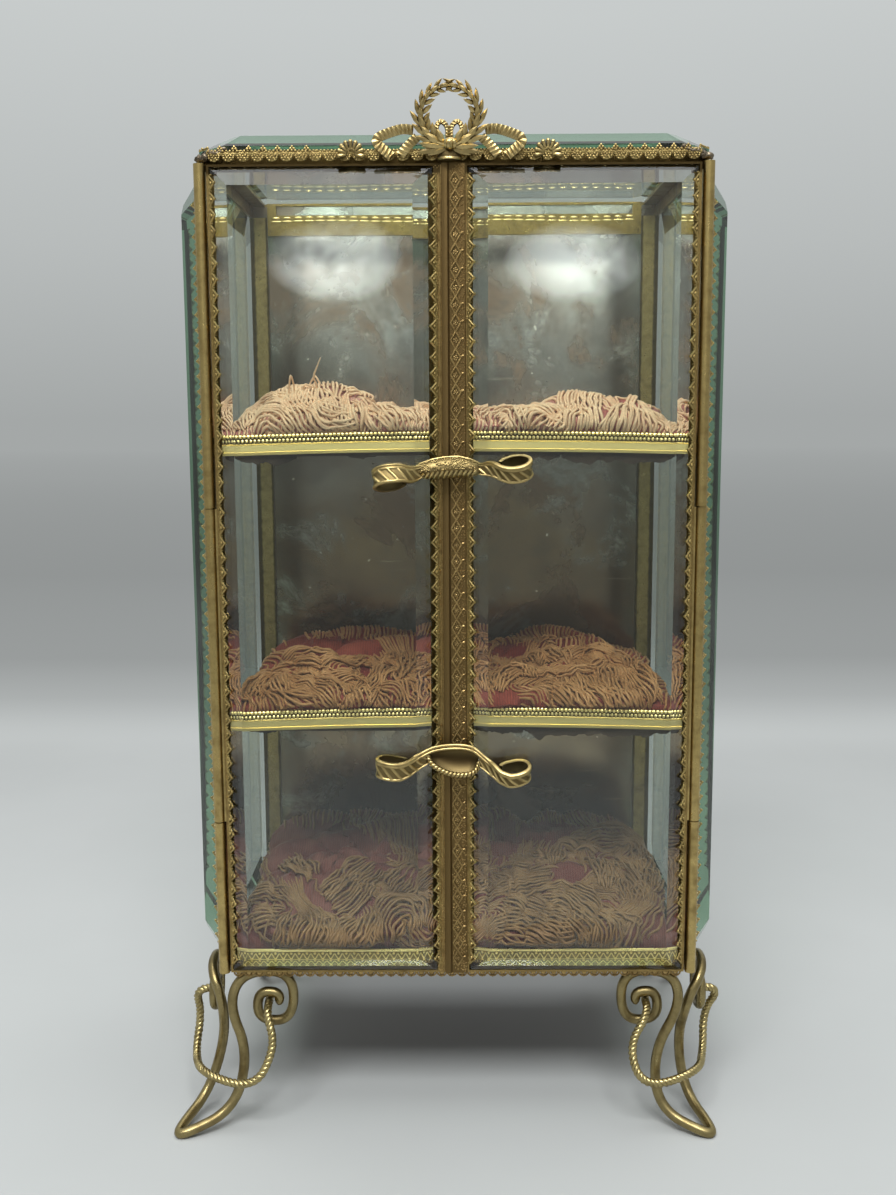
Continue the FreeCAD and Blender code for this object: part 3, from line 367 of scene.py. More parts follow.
METAL_LOOKS = {     # bright and dark metal, and where it differs from plain gilding
    "gilt_brass": ((0.52, 0.39, 0.155), (0.09, 0.052, 0.016), dict(tarnish=0.55)),
    "pressed_brass": ((0.5, 0.345, 0.14), (0.045, 0.024, 0.008), dict(tarnish=0.55, texture=0.6, fleck=0.85)),
    "rail_brass": ((0.95, 0.76, 0.32), (0.10, 0.062, 0.014), dict(tarnish=0.25, recess=0.0, fleck=0.1)),
    "ornament_brass": ((0.58, 0.44, 0.19), (0.028, 0.016, 0.006), dict(tarnish=0.5, recess=1.0, reach=1.6)),
    # the feet's wire is darker than the other brass, partly as painted shade that holds down the strong front
    # lamp on it
    "wire_brass": ((0.325, 0.26, 0.12), (0.08, 0.052, 0.02), dict(grain=180.0, tarnish=0.6)),
    "twisted_brass": ((0.48, 0.39, 0.18), (0.045, 0.028, 0.01), dict(tarnish=0.4)),
    "browned_brass": ((0.26, 0.18, 0.075), (0.03, 0.018, 0.007), dict(tarnish=0.7, fleck=0.6)),
    "solder_grey": ((0.27, 0.22, 0.155), (0.05, 0.038, 0.026), dict(tarnish=0.8, texture=0.8, fleck=0.5)),
}
METALS = {name: gilding(name, bright, dark, **rest) for name, (bright, dark, rest) in METAL_LOOKS.items()}
print(f"{len(METALS)} metals from one group")

# %% [markdown]
# ## Bevelled glass
# The plates are thick, slightly green glass. Real refraction shows the bevels, and absorption inside
# the solid makes the long way through an edge greener than the short way through the middle. Lamps
# could not shine through a refracting plate without slow caustics, so for lamp rays, and for light that
# has bounced inside it a few times, the plate turns into a clear pane. A faint ripple and a little dust
# keep it from looking like new glass.

# %% bevelled glass
GLASS_GREEN, GLASS_BOUNCES = 34.0, 2.5


def bevelled_glass():
    material, tree, shader = new_material("bevelled_glass", IOR=1.5, Transmission_Weight=1.0)
    shader.inputs["Base Color"].default_value = (1, 1, 1, 1)
    dust = ramp(tree, cloud(tree, 60.0, 3.0, 0.6), (0.5, 0.0), (0.9, 0.008))
    tree.links.new(dust, shader.inputs["Roughness"])
    bump(tree, shader, cloud(tree, 22.0, 1.0), 0.08, 1.0 * MM)
    path = add(tree, "ShaderNodeLightPath")
    lamp_rays = math_node(tree, "MAXIMUM", path.outputs["Is Shadow Ray"], path.outputs["Is Diffuse Ray"])
    deep_rays = math_node(tree, "GREATER_THAN", path.outputs["Glossy Depth"], GLASS_BOUNCES)
    lamp_rays = math_node(tree, "MAXIMUM", lamp_rays, deep_rays)
    pane = add(tree, "ShaderNodeBsdfTransparent", {"Color": (0.955, 0.965, 0.955, 1)})
    blend = add(tree, "ShaderNodeMixShader")
    tree.links.new(lamp_rays, blend.inputs[0])
    tree.links.new(shader.outputs[0], blend.inputs[1])
    tree.links.new(pane.outputs[0], blend.inputs[2])
    out = tree.nodes["Material Output"]
    tree.links.new(blend.outputs[0], out.inputs["Surface"])
    green = add(tree, "ShaderNodeVolumeAbsorption", {"Color": (0.40, 0.64, 0.46, 1), "Density": GLASS_GREEN})
    tree.links.new(green.outputs[0], out.inputs["Volume"])
    return material


GLASS = bevelled_glass()
print(f"{GLASS.name} absorbs {GLASS_GREEN:.0f} per metre")

# %% [markdown]
# ## Old mirror, backing card and shelf board
# The back is a mirror whose silver has clouded: bright and milky near the top, brown and pitted lower
# down, with specks and fine scratches everywhere. Height on the glass drives the change, noise breaks
# it up. Where the silver is lost to brown spots and milky bloom the back no longer mirrors, so the metal
# share drops there. The backing behind it and the shelf boards are dark card with fibres.

# %% old mirror
SILVER = ((0.05, (0.29, 0.235, 0.165)), (0.32, (0.33, 0.25, 0.16)), (0.55, (0.32, 0.235, 0.14)),
          (0.70, (0.36, 0.33, 0.28)), (0.86, (0.42, 0.405, 0.37)), (0.97, (0.62, 0.60, 0.55)))
MIRROR_MARKS = {    # scale, detail, roughness and distortion of the noise, two stops, strength, colour
    "stains": ((24.0, 4.0, 0.55, 0.2), (0.42, 1.0), (0.60, 0.0), 0.55, (0.20, 0.145, 0.105)),
    "blotches": ((75.0, 4.0, 0.6, 0.3), (0.36, 1.0), (0.54, 0.0), 0.35, (0.15, 0.13, 0.11)),
    "pits": ((420.0, 1.0, 0.5, 0.0), (0.77, 0.0), (0.79, 1.0), 0.8, (0.78, 0.74, 0.66)),
    "scratches": ((1.0, 2.0, 0.5, 0.0), (0.70, 0.0), (0.74, 1.0), 0.35, (0.70, 0.66, 0.58)),
    "foxing": ((23.0, 6.0, 0.64, 0.5), (0.50, 0.0), (0.60, 1.0), 0.8, (0.25, 0.165, 0.105)),
    "bloom": ((37.0, 6.0, 0.66, 0.5), (0.55, 0.0), (0.68, 1.0), 0.8, (0.40, 0.40, 0.36)),
}


def old_mirror():
    material, tree, shader = new_material("old_mirror", Metallic=1.0)
    place = own_place(tree)
    point = add(tree, "ShaderNodeSeparateXYZ")
    tree.links.new(place, point.inputs[0])
    low, high = span("back_mirror")
    height = add(tree, "ShaderNodeMapRange", {1: low[2] * MM, 2: high[2] * MM})
    tree.links.new(point.outputs["Z"], height.inputs[0])
    drift = cloud(tree, 17.0, 3.0, 0.5, place, 0.15)
    level = math_node(tree, "ADD", height.outputs[0], math_node(tree, "MULTIPLY_ADD", drift, 0.7, -0.35))
    silver = ramp(tree, level, *SILVER)
    rubbed = add(tree, "ShaderNodeMapping", {"Rotation": (0, 0.5, 0), "Scale": (30, 30, 900)})
    tree.links.new(place, rubbed.inputs["Vector"])
    masks = {}
    for name, (grain, first, last, strength, colour) in MIRROR_MARKS.items():
        where = rubbed.outputs[0] if name == "scratches" else place
        masks[name] = ramp(tree, cloud(tree, *grain[:3], where, grain[3]), first, last)
        silver = mix(tree, math_node(tree, "MULTIPLY", masks[name], strength), silver, colour)
    lost = math_node(tree, "MULTIPLY", math_node(tree, "MAXIMUM", masks["foxing"], masks["bloom"]), 0.6)
    tree.links.new(math_node(tree, "SUBTRACT", 1.0, lost), shader.inputs["Metallic"])
    paint(tree, shader, silver, ramp(tree, drift, (0.3, 0.10), (0.7, 0.22)))
    return material


print(f"{len(MIRROR_MARKS)} kinds of marks on the mirror")

# %% card and boards


def dark_card(name, pale, dark):
    material, tree, shader = new_material(name, Specular_IOR_Level=0.25)
    fibre = cloud(tree, 700.0, 6.0, 0.7)
    stain = cloud(tree, 60.0, 4.0)
    tone = mix(tree, ramp(tree, stain, (0.35, 0.0), (0.65, 1.0)), dark, pale)
    colour = mix(tree, math_node(tree, "MULTIPLY", fibre, 0.5), tone, dark)
    paint(tree, shader, colour, ramp(tree, fibre, (0.3, 0.7), (0.7, 0.95)))
    bump(tree, shader, fibre, 0.5, 0.3 * MM)
    return material


MIRROR = old_mirror()
CARD = dark_card("backing_card", (0.11, 0.08, 0.055), (0.05, 0.036, 0.026))
BOARD = dark_card("shelf_board", (0.085, 0.055, 0.038), (0.03, 0.02, 0.016))
print("mirror, card and board finishes are ready")

# %% [markdown]
# ## Finishes on the solids
# Each solid names a finish slot in the record. The solids that stay in view, such as posts, frames,
# hinge tubes and glass, take the finish of that slot. The pieces built later replace the others. The
# top rails of the doors, the front of the top frame and the edges of the rear posts get painted shade,
# nearly black, for the shadow gaps under the gallery and beside the posts, so the metal there darkens
# by its place on the solid.

# %% finishes on the solids


def shaded_by_place(name, axis, stops, bright=(0.47, 0.35, 0.14)):
    """Brass with painted shade below the first two stops along an axis and above the last two, in
    millimetres.
    """
    if name in bpy.data.materials:
        return bpy.data.materials[name]
    material = gilding(name, bright, (0.055, 0.033, 0.011), tarnish=0.55, texture=0.5, fleck=0.6)
    tree, shader = material.node_tree, material.node_tree.nodes["Principled BSDF"]
    point = add(tree, "ShaderNodeSeparateXYZ")
    tree.links.new(own_place(tree), point.inputs[0])
    ragged = math_node(tree, "MULTIPLY_ADD", cloud(tree, 500.0), 0.8 * MM, -0.4 * MM)
    place = math_node(tree, "ADD", math_node(tree, "ABSOLUTE", point.outputs[axis]), ragged)
    foot = add(tree, "ShaderNodeMapRange", {1: stops[0] * MM, 2: stops[1] * MM, 3: 1.0, 4: 0.0})
    head = add(tree, "ShaderNodeMapRange", {1: stops[2] * MM, 2: stops[3] * MM})
    for node in (foot, head):
        tree.links.new(place, node.inputs[0])
    darkening = math_node(tree, "MAXIMUM", foot.outputs[0], head.outputs[0])
    unshaded = shader.inputs["Base Color"].links[0].from_socket
    # painted shade: the colour goes nearly black past the stops
    shaded = mix(tree, math_node(tree, "MULTIPLY", darkening, 0.85), unshaded, (0.035, 0.022, 0.009))
    tree.links.new(shaded, shader.inputs["Base Color"])
    return material


FINISHES = {**METALS, "bevelled_glass": GLASS, "old_mirror": MIRROR, "backing_card": CARD,
            "shelf_board": BOARD}
for row in frame["record"]["subparts"]:
    solid = nodes[row["node"]]
    solid.data.materials.clear()
    solid.data.materials.append(FINISHES.get(row["material_slot"], CARD))
# painted shade on the top rails of the doors, the edges of the rear posts and the front of the top frame
for name in ("left_door_frame", "right_door_frame"):
    door_brass = shaded_by_place("door_brass", "Z", (0.0, 1.0, 274.2, 275.4), (0.36, 0.25, 0.095))
    nodes[name].data.materials[0] = door_brass
for name in ("rear_left_post", "rear_right_post"):
    nodes[name].data.materials[0] = shaded_by_place("post_brass", "X", (63.2, 63.7, 66.9, 67.5))
top_brass = shaded_by_place("top_brass", "Y", (0.0, 1.0, 40.0, 42.0), (0.36, 0.25, 0.075))
nodes["top_frame"].data.materials[0] = top_brass
for name in ("bottom_frame", "upper_clasp_spindle", "lower_clasp_spindle"):
    nodes[name].data.materials[0] = METALS["browned_brass"]
print(f"{len(FINISHES)} finishes on {len(nodes)} solids")

# %% [markdown]
# ## Mesh helpers
# Stamped edging, beaded rails and galleries are one small form repeated many times. Modifiers could
# repeat it, but the forms also have to follow slopes and bends. So a form here is a plain pair of
# points and faces: it is made once, copied to its places with numpy, and joined into one piece.

# %% lofts and tubes


def unit(vector):
    vector = np.asarray(vector, float)
    return vector / np.linalg.norm(vector)


def loft(rings, closed=False):
    """Skin through rings of points, with flat ends unless the rings close on themselves."""
    rings = np.asarray(rings, float)
    count, sides = rings.shape[:2]
    faces = []
    for i in range(count if closed else count - 1):
        j = (i + 1) % count
        for k in range(sides):
            m = (k + 1) % sides
            faces.append((i * sides + k, i * sides + m, j * sides + m, j * sides + k))
    if not closed:
        faces.append(tuple(range(sides - 1, -1, -1)))
        faces.append(tuple((count - 1) * sides + k for k in range(sides)))
    return rings.reshape(-1, 3), faces


def headings(path, closed=False):
    """The direction of a path at each of its points."""
    ahead = np.roll(path, -1, 0) - np.roll(path, 1, 0) if closed else np.gradient(path, axis=0)
    return ahead / np.linalg.norm(ahead, axis=1, keepdims=True)


def side_axes(path, closed=False):
    """Two directions square to a path, carried along it without twist."""
    ahead = headings(path, closed)
    side = np.eye(3)[np.argmin(np.abs(ahead[0]))]
    sides = []
    for direction in ahead:
        side = unit(side - direction * side.dot(direction))
        sides.append(side)
    sides = np.array(sides)
    return sides, np.cross(ahead, sides)


def full_turn(count):
    return np.linspace(0, 2 * math.pi, count, endpoint=False)


def tube(path, radius, sides=8, closed=False):
    """A round bar along a path. Radius is one number, or one for each point."""
    path = np.asarray(path, float)
    first, second = side_axes(path, closed)
    turn = full_turn(sides)
    reach = np.broadcast_to(np.asarray(radius, float), len(path))[:, None, None]
    ring = np.cos(turn)[None, :, None] * first[:, None] + np.sin(turn)[None, :, None] * second[:, None]
    return loft(path[:, None] + reach * ring, closed)


print(f"a straight tube has {len(tube([(0, 0, 0), (0, 0, 1)], 0.5)[1])} faces")

# %% beads and copies


def bead(centre, size, sides=6, rows=4):
    """A small ball or egg."""
    turn = full_turn(sides)
    rings = []
    for tilt in np.linspace(-math.pi / 2, math.pi / 2, rows + 1)[1:-1]:
        flat = np.stack([np.cos(turn), np.sin(turn), np.zeros(sides)], 1) * math.cos(tilt)
        rings.append(flat + (0, 0, math.sin(tilt)))
    points, faces = loft(np.array(rings))
    points = np.vstack([points, (0, 0, -1), (0, 0, 1)])
    faces = faces[:-2]
    last = len(points) - 3
    for k in range(sides):
        m = (k + 1) % sides
        faces.append((m, k, last + 1))
        faces.append((last - sides + 1 + k, last - sides + 1 + m, last + 2))
    return points * np.broadcast_to(size, 3) + np.asarray(centre, float), faces


def merge(*meshes):
    points, faces, start = [], [], 0
    for some_points, some_faces in meshes:
        points.append(some_points)
        faces.extend(tuple(index + start for index in face) for face in some_faces)
        start += len(some_points)
    return np.vstack(points), faces


def placed(mesh, origin, axes):
    """A form set down at an origin, with its own x, y and z along three axes."""
    return mesh[0] @ np.asarray(axes, float) + np.asarray(origin, float), mesh[1]


def repeated(mesh, origins, axes):
    return merge(*[placed(mesh, origin, axes) for origin in origins])


print(f"a bead has {len(bead((0, 0, 0), 1.0)[1])} faces")

# %% finished pieces


def new_object(name, mesh, material, crease=35):
    """A mesh object in metres, with outward faces, smooth but for its creases."""
    points, faces = mesh
    data = bpy.data.meshes.new(name)
    data.from_pydata((points * MM).tolist(), [], faces)
    shape = bmesh.new()
    shape.from_mesh(data)
    bmesh.ops.recalc_face_normals(shape, faces=shape.faces)
    shape.to_mesh(data)
    shape.free()
    data.polygons.foreach_set("use_smooth", [True] * len(data.polygons))
    data.set_sharp_from_angle(angle=math.radians(crease))
    data.materials.append(material)
    return put_in_scene(name, data)


def piece(name, mesh, slot, body, *solids, finish=None, crease=35):
    """A finished piece: its mesh, its finish, the body it rides on and the solids it stands for."""
    item = new_object(name, mesh, finish or FINISHES[slot], crease)
    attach(item, body)
    if solids:
        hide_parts(*solids)
    print(f"{name}: {len(item.data.polygons)} faces on {body}")
    return item


print(f"pieces can take {len(FINISHES)} finishes")

# %% [markdown]
# ## Stamped edging
# Thin brass edging holds the glass. It was stamped in long strips: a grained border, then a row of
# pierced points with a bead on each tip. A displacement map could fake it, but the points stand free
# over the glass and show in outline, so every point is real metal. Each strip leans with the bevel it
# lies on.

# %% points of the edging
GLASS_EDGE = 1.6
DOOR_SLOPE, SIDE_SLOPE, TOP_SLOPE = math.atan2(4.4, 5.4), math.atan2(6.4, 8.5), math.atan2(4.4, 8.5)
DOOR_CLIP, SIDE_CLIP = 2.2, 8.0
EDGING_PITCH = 4.2


def leaf_point(pitch):
    """One pierced point: two straight stems, a tip bead, and beads in the foot."""
    half = 0.42 * pitch
    stems = [tube([(side * half, 0.7, 0.35), (side * half * 0.5, 1.6, 0.5), (side * 0.12, 2.5, 0.6)], 0.3, 6)
             for side in (-1, 1)]
    beads = [bead((0, 2.7, 0.62), 0.46, 7, 5), bead((0, 1.2, 0.5), (0.5, 0.5, 0.42), 7, 5),
             bead((-half * 0.72, 0.85, 0.42), 0.36), bead((half * 0.72, 0.85, 0.42), 0.36),
             bead((pitch / 2, 1.15, 0.45), (0.3, 0.5, 0.35))]
    return merge(*stems, *beads)


def ring_point(pitch):
    """One repeat of the finer edging: a small open peak, its bead and a dot beside it."""
    stems = [tube([(side * 1.15, 0.6, 0.35), (side * 0.6, 1.5, 0.45), (side * 0.1, 2.3, 0.5)], 0.26, 5)
             for side in (-1, 1)]
    beads = [bead((0, 1.05, 0.45), 0.42), bead((0, 2.5, 0.5), 0.38), bead((pitch / 2, 1.2, 0.42), 0.36)]
    return merge(*stems, *beads)


print(f"a point of the edging has {len(leaf_point(EDGING_PITCH)[1])} faces")

# %% edging on the doors


def rolled_border(length, low, high, thick):
    """A half-round border along x."""
    profile = [(low, 0.0), (low, 0.5 * thick), (0.7 * low + 0.3 * high, thick),
               (0.3 * low + 0.7 * high, thick), (high, 0.5 * thick), (high, 0.0)]
    return loft([[(x, y, z) for y, z in profile] for x in (0, length)])


def edging(start, end, inward, outward, slope, motif, pitch=EDGING_PITCH, border=(0.0, 0.9)):
    """A strip of edging from start to end, leaning inward by the slope of the bevel."""
    start, end, inward, outward = (np.asarray(v, float) for v in (start, end, inward, outward))
    axes = (unit(end - start), inward * math.cos(slope) + outward * math.sin(slope),
            outward * math.cos(slope) - inward * math.sin(slope))
    length = np.linalg.norm(end - start)
    count = max(1, round(length / pitch))
    step = length / count
    origins = [start + axes[0] * step * (i + 0.5) for i in range(count)]
    strip = placed(rolled_border(length, *border, 0.5), start, axes)
    chance = random.Random(int(length * 10))
    grain = bead((0, 0, 0), (0.3, 0.26, 0.24), 5, 3)
    grains = [start + axes[0] * chance.uniform(0, length)
              + axes[1] * chance.uniform(border[0] + 0.1, border[1]) + axes[2] * 0.48
              for _ in range(int(length * 1.3))]
    return merge(strip, repeated(grain, grains, axes), repeated(motif(step), origins, axes))


def door_edging(name, overlap):
    """Edging on both upright bevels. Where the doors meet, it starts on the stile by the overlap."""
    low, high = span(f"{name}_door_glass")
    front = span(f"{name}_door_frame")[0][1]
    strips = []
    for x, inward in ((low[0], 1), (high[0] + overlap, -1)):
        foot, head = (x, front, low[2] + DOOR_CLIP), (x, front, high[2] - DOOR_CLIP)
        strips.append(edging(foot, head, (inward, 0, 0), (0, -1, 0), DOOR_SLOPE, leaf_point))
    piece(f"{name}_door_edging", merge(*strips), "gilt_brass", f"{name}_door", f"{name}_door_trim")


door_edging("left", 0.9)
door_edging("right", 0.0)

# %% edging on the side and top plates


def plate_edging(corners, outward, slope, motif, skip=()):
    corners = [np.array(corner, float) for corner in corners]
    middle = sum(corners) / 4
    strips = []
    for i in range(4):
        if i in skip:
            continue
        first, last = corners[i], corners[(i + 1) % 4]
        along = unit(last - first) * SIDE_CLIP
        inward = unit(middle - (first + last) / 2)
        strips.append(edging(first + along, last - along, inward, outward, slope, motif))
    return merge(*strips)


def side_edging(name, side):
    low, high = span(f"{name}_side_glass")
    x = side * (span("bottom_frame")[1][0] + GLASS_EDGE)
    corners = [(x, low[1], low[2]), (x, high[1], low[2]), (x, high[1], high[2]), (x, low[1], high[2])]
    mesh = plate_edging(corners, np.array((side, 0, 0)), SIDE_SLOPE, ring_point)
    piece(f"{name}_side_edging", mesh, "gilt_brass", "case", f"{name}_side_trim")


def top_edging():
    low, high = span("top_glass")
    z = low[2] + GLASS_EDGE
    corners = [(low[0], low[1], z), (high[0], low[1], z), (high[0], high[1], z), (low[0], high[1], z)]
    mesh = plate_edging(corners, np.array((0, 0, 1)), TOP_SLOPE, ring_point, skip=(0,))
    piece("top_edging", mesh, "gilt_brass", "case", "top_trim")


side_edging("left", -1)
side_edging("right", 1)
top_edging()

# %% [markdown]
# ## Gallery and hem
# A wider strip runs along the front of the top glass. Its lower border is a row of lobes that hang
# over the doors, with beads above them. Small trefoils still stand up near both ends and have worn
# off in the middle. A narrow scalloped hem hangs below the sill. All of it is small repeats.

# %% gallery and hem


def gallery_repeat(pitch):
    """A hanging lobe covered in small grains, under a row of beads."""
    half = pitch / 2
    parts = [bead((0, 1.3, 0.05), (0.4 * pitch, 1.0, 0.22), 12, 6)]
    for row, count, size in ((0.55, 2, 0.36), (1.1, 4, 0.36), (1.7, 5, 0.34), (2.25, 6, 0.3)):
        wide = 0.36 * pitch * math.sqrt(1 - ((row - 1.7) / 1.35) ** 2)
        parts += [bead((place, row + 0.12 * (i % 2), 0.3), size, 6, 4)
                  for i, place in enumerate(np.linspace(-wide, wide, count))]
    for i, place in enumerate((-0.75, -0.25, 0.25, 0.75)):
        parts.append(bead((place * half, 2.9 + 0.1 * (i % 2), 0.4), 0.48 - 0.1 * (i % 2), 7, 5))
    return merge(*parts)


def trefoil():
    """Three beads that stand up from the gallery."""
    return merge(bead((-0.42, 3.5, 0.3), 0.46), bead((0.42, 3.5, 0.3), 0.46),
                 bead((0, 4.05, 0.3), 0.42))


def hem_repeat(pitch):
    turn = np.linspace(math.pi, 0, 7)
    swag = np.stack([0.46 * pitch * np.cos(turn), 0.7 + 1.35 * np.sin(turn), np.full(7, 0.25)], 1)
    return merge(tube(swag, 0.3, 5), bead((0, 2.1, 0.25), 0.34), bead((0, 1.1, 0.2), (0.9, 0.75, 0.3)))


GALLERY_PITCH, HEM_PITCH = 3.9, 3.0
WORN_FROM = 36.0        # the trefoils are gone nearer to the middle than this
UPRIGHT = ((1, 0, 0), (0, 0, 1), (0, -1, 0))        # axes of a form that faces the front
low, high = span("top_gallery")
gallery = edging((low[0], high[1], low[2]), (high[0], high[1], low[2]), (0, 0, 1), (0, -1, 0), 0,
                 gallery_repeat, GALLERY_PITCH, border=(1.9, 3.0))
for x_low, x_high in ((low[0], -WORN_FROM), (WORN_FROM, high[0])):
    count = int((x_high - x_low) / GALLERY_PITCH)
    middle = (x_low + x_high) / 2
    places = [(middle + (i - (count - 1) / 2) * GALLERY_PITCH, high[1], low[2]) for i in range(count)]
    gallery = merge(gallery, repeated(trefoil(), places, UPRIGHT))
piece("top_gallery_strip", gallery, "gilt_brass", "case", "top_gallery")
low, high = span("bottom_gallery")
hem = edging((low[0], high[1], high[2]), (high[0], high[1], high[2]), (0, 0, -1), (0, -1, 0), 0,
             hem_repeat, HEM_PITCH, border=(0.0, 0.8))
piece("bottom_hem", hem, "pressed_brass", "case", "bottom_gallery")

# %% [markdown]
# ## The pressed band
# The right door's meeting stile carries a browned band: a smooth ridge on its left edge, then a broad
# bed, stippled all over, with a lattice of fine diagonals, small rosettes and one bright dash to each
# repeat. The bed is one long lofted section. The lattice and the punched grains are separate small forms
# on it, because a lofted section can't change along its length. The left door's stile beside it has a
# stippled strip and a thin smooth edge.

# %% painted darkness of a casting


def store_painted_darkness(item, painted_darkness):
    """Store how dark each point of a casting is painted, for the gilding to darken: patina, and in places
    painted shade.
    """
    values = np.asarray(painted_darkness, np.float32)
    item.data.attributes.new("hollow", "FLOAT", "POINT").data.foreach_set("value", values)


def shaded_piece(name, forms, slot, body, *solids, **options):
    """A piece joined from forms that each have one painted darkness, given as pairs of form and darkness."""
    item = piece(name, merge(*[form for form, _ in forms]), slot, body, *solids, **options)
    store_painted_darkness(item, np.concatenate([np.full(len(form[0]), depth) for form, depth in forms]))
    return item


print("castings can store their hollows")

# %% pressed band
LATTICE_REPEAT, LATTICE_HALF = 4.7, 1.4
BAND_SECTION = ((0.0, 0.0), (0.0, 0.3), (-0.6, 0.3), (-0.6, 0.55), (0.0, 0.8), (0.35, 0.9), (0.95, 0.86),
                (1.25, 0.58), (1.4, 0.36), (1.6, 0.5), (5.7, 0.5), (5.9, 0.35), (5.9, 0.0))


def lattice_link():
    """One repeat of the lattice, seen from the front, with x across and y up."""
    reach = LATTICE_REPEAT / 2
    ends = ((0, reach), (LATTICE_HALF, 0), (0, -reach), (-LATTICE_HALF, 0))
    bars = []
    for first, last in zip(ends, ends[1:] + ends[:1]):
        middle = ((first[0] + last[0]) / 2, (first[1] + last[1]) / 2, 0.26)
        bars.append(tube([(*first, 0.1), middle, (*last, 0.1)], 0.25, 6))
    petals = [bead((0.5 * math.cos(a), 0.5 * math.sin(a), 0.1), (0.27, 0.27, 0.22), 5, 3)
              for a in full_turn(5)]
    dash = tube([(1.35, 0.3, 0.15), (1.75, 0.5, 0.3), (2.15, 0.62, 0.15)], 0.28, 6)
    return merge(*bars, bead((0, 0, 0.16), 0.3, 5, 3), *petals, dash)


def matted(across, up, y, count, seed):
    """A matted ground: small grains punched all over a strip."""
    chance = random.Random(seed)
    grain = bead((0, 0, 0), (0.24, 0.2, 0.24), 5, 3)
    places = [(chance.uniform(*across), y, chance.uniform(*up)) for _ in range(count)]
    return repeated(grain, places, np.eye(3))


def pressed_band():
    low, high = span("mullion_band")
    back, front = high[1], low[1]
    depth = (back - front) / max(y for _, y in BAND_SECTION)
    bed = loft([[(low[0] + x, back - y * depth, z) for x, y in BAND_SECTION] for z in (low[2], high[2])])
    face = back - 0.5 * depth
    count = int((high[2] - low[2]) / LATTICE_REPEAT)
    first = (low[2] + high[2] - (count - 1) * LATTICE_REPEAT) / 2
    origins = [(low[0] + 3.1, face, first + i * LATTICE_REPEAT) for i in range(count)]
    grains = matted((low[0] + 1.75, low[0] + 5.65), (low[2] + 0.5, high[2] - 0.5), face, 2300, 3)
    lattice = repeated(lattice_link(), origins, UPRIGHT)
    shaded_piece("pressed_band", ((bed, 0.75), (lattice, 0.0), (grains, 0.1)), "pressed_brass", "right_door",
                 "mullion_band")


def stile_moulding():
    """The left door's meeting stile: a stippled strip under the edging and a thin smooth edge."""
    low, high = span("left_door_frame")
    edge, front = high[0], low[1]
    ridge = tube([(edge - 0.32, front, low[2] + 0.4), (edge - 0.32, front, high[2] - 0.4)], 0.3, 8)
    grains = matted((edge - 2.4, edge - 0.8), (low[2] + 0.4, high[2] - 0.4), front, 900, 5)
    piece("left_stile_moulding", merge(ridge, grains), "pressed_brass", "left_door")


pressed_band()
stile_moulding()

# %% [markdown]
# ## Shelf rails and sill
# A bright rail runs along each shelf: a row of small beads, a finer row under it, then a smooth hollow
# band. The rails have bowed up a little in the middle. The sill below the doors has a rolled top and a
# pressed lattice. The band is lofted through sections along its length so that it can bow. A row of
# small dashes lies on the strip that hangs in front of the mirror's top.

# %% shelf rails
BEAD_PITCH, BEAD_LEAN = 1.15, 20        # millimetres, and degrees that each bead faces up


def shelf_rail(prefix, bow):
    low, high = span(f"{prefix}_shelf_rail")
    half, back, front, top, foot = high[0], high[1], low[1], high[2], low[2]
    face = front + 0.75

    def rise(x):
        return bow * (1 - (x / half) ** 2)

    section = [(back, foot - 0.6), (back, top - 0.2), (face + 0.2, top - 0.2), (face + 0.2, top - 2.3),
               (face + 0.05, top - 2.5), (face + 0.32, top - 2.8), (face + 0.12, foot + 0.3),
               (face - 0.2, foot + 0.2), (face - 0.2, foot - 0.6)]
    stations = np.linspace(-half, half, 61)
    band = loft([[(x, y, z + rise(x)) for y, z in section] for x in stations])
    # painted darkness for each point of the section: near black on the back and the bed behind the beads,
    # darker on the lip as painted shade over its highlight
    painted_darkness = np.tile([0.9, 0.9, 0.95, 0.95, 0.2, 0.3, 0.2, 0.4, 0.5], len(stations))
    big, small = bead((0, 0, 0), (0.57, 0.42, 0.62), 8, 6), bead((0, 0, 0), (0.5, 0.36, 0.52), 7, 5)
    lean = math.radians(BEAD_LEAN)
    leaning = ((1, 0, 0), (0, math.cos(lean), -math.sin(lean)), (0, math.sin(lean), math.cos(lean)))
    places = np.arange(-half + 0.6, half - 0.5, BEAD_PITCH)
    beads = repeated(big, [(x, face - 0.2, top - 0.35 + rise(x)) for x in places], leaning)
    between = [(x + BEAD_PITCH / 2, face - 0.15, top - 1.6 + rise(x)) for x in places[:-1]]
    dots = repeated(small, between, leaning)
    rail = piece(f"{prefix}_beaded_rail", merge(band, beads, dots), "rail_brass", "case",
                 f"{prefix}_shelf_rail")
    store_painted_darkness(rail, np.r_[painted_darkness, np.zeros(len(beads[0])), np.full(len(dots[0]), 0.1)])


shelf_rail("upper", 1.2)
shelf_rail("lower", 1.4)

# %% sill
LATTICE_PITCH = 2.3


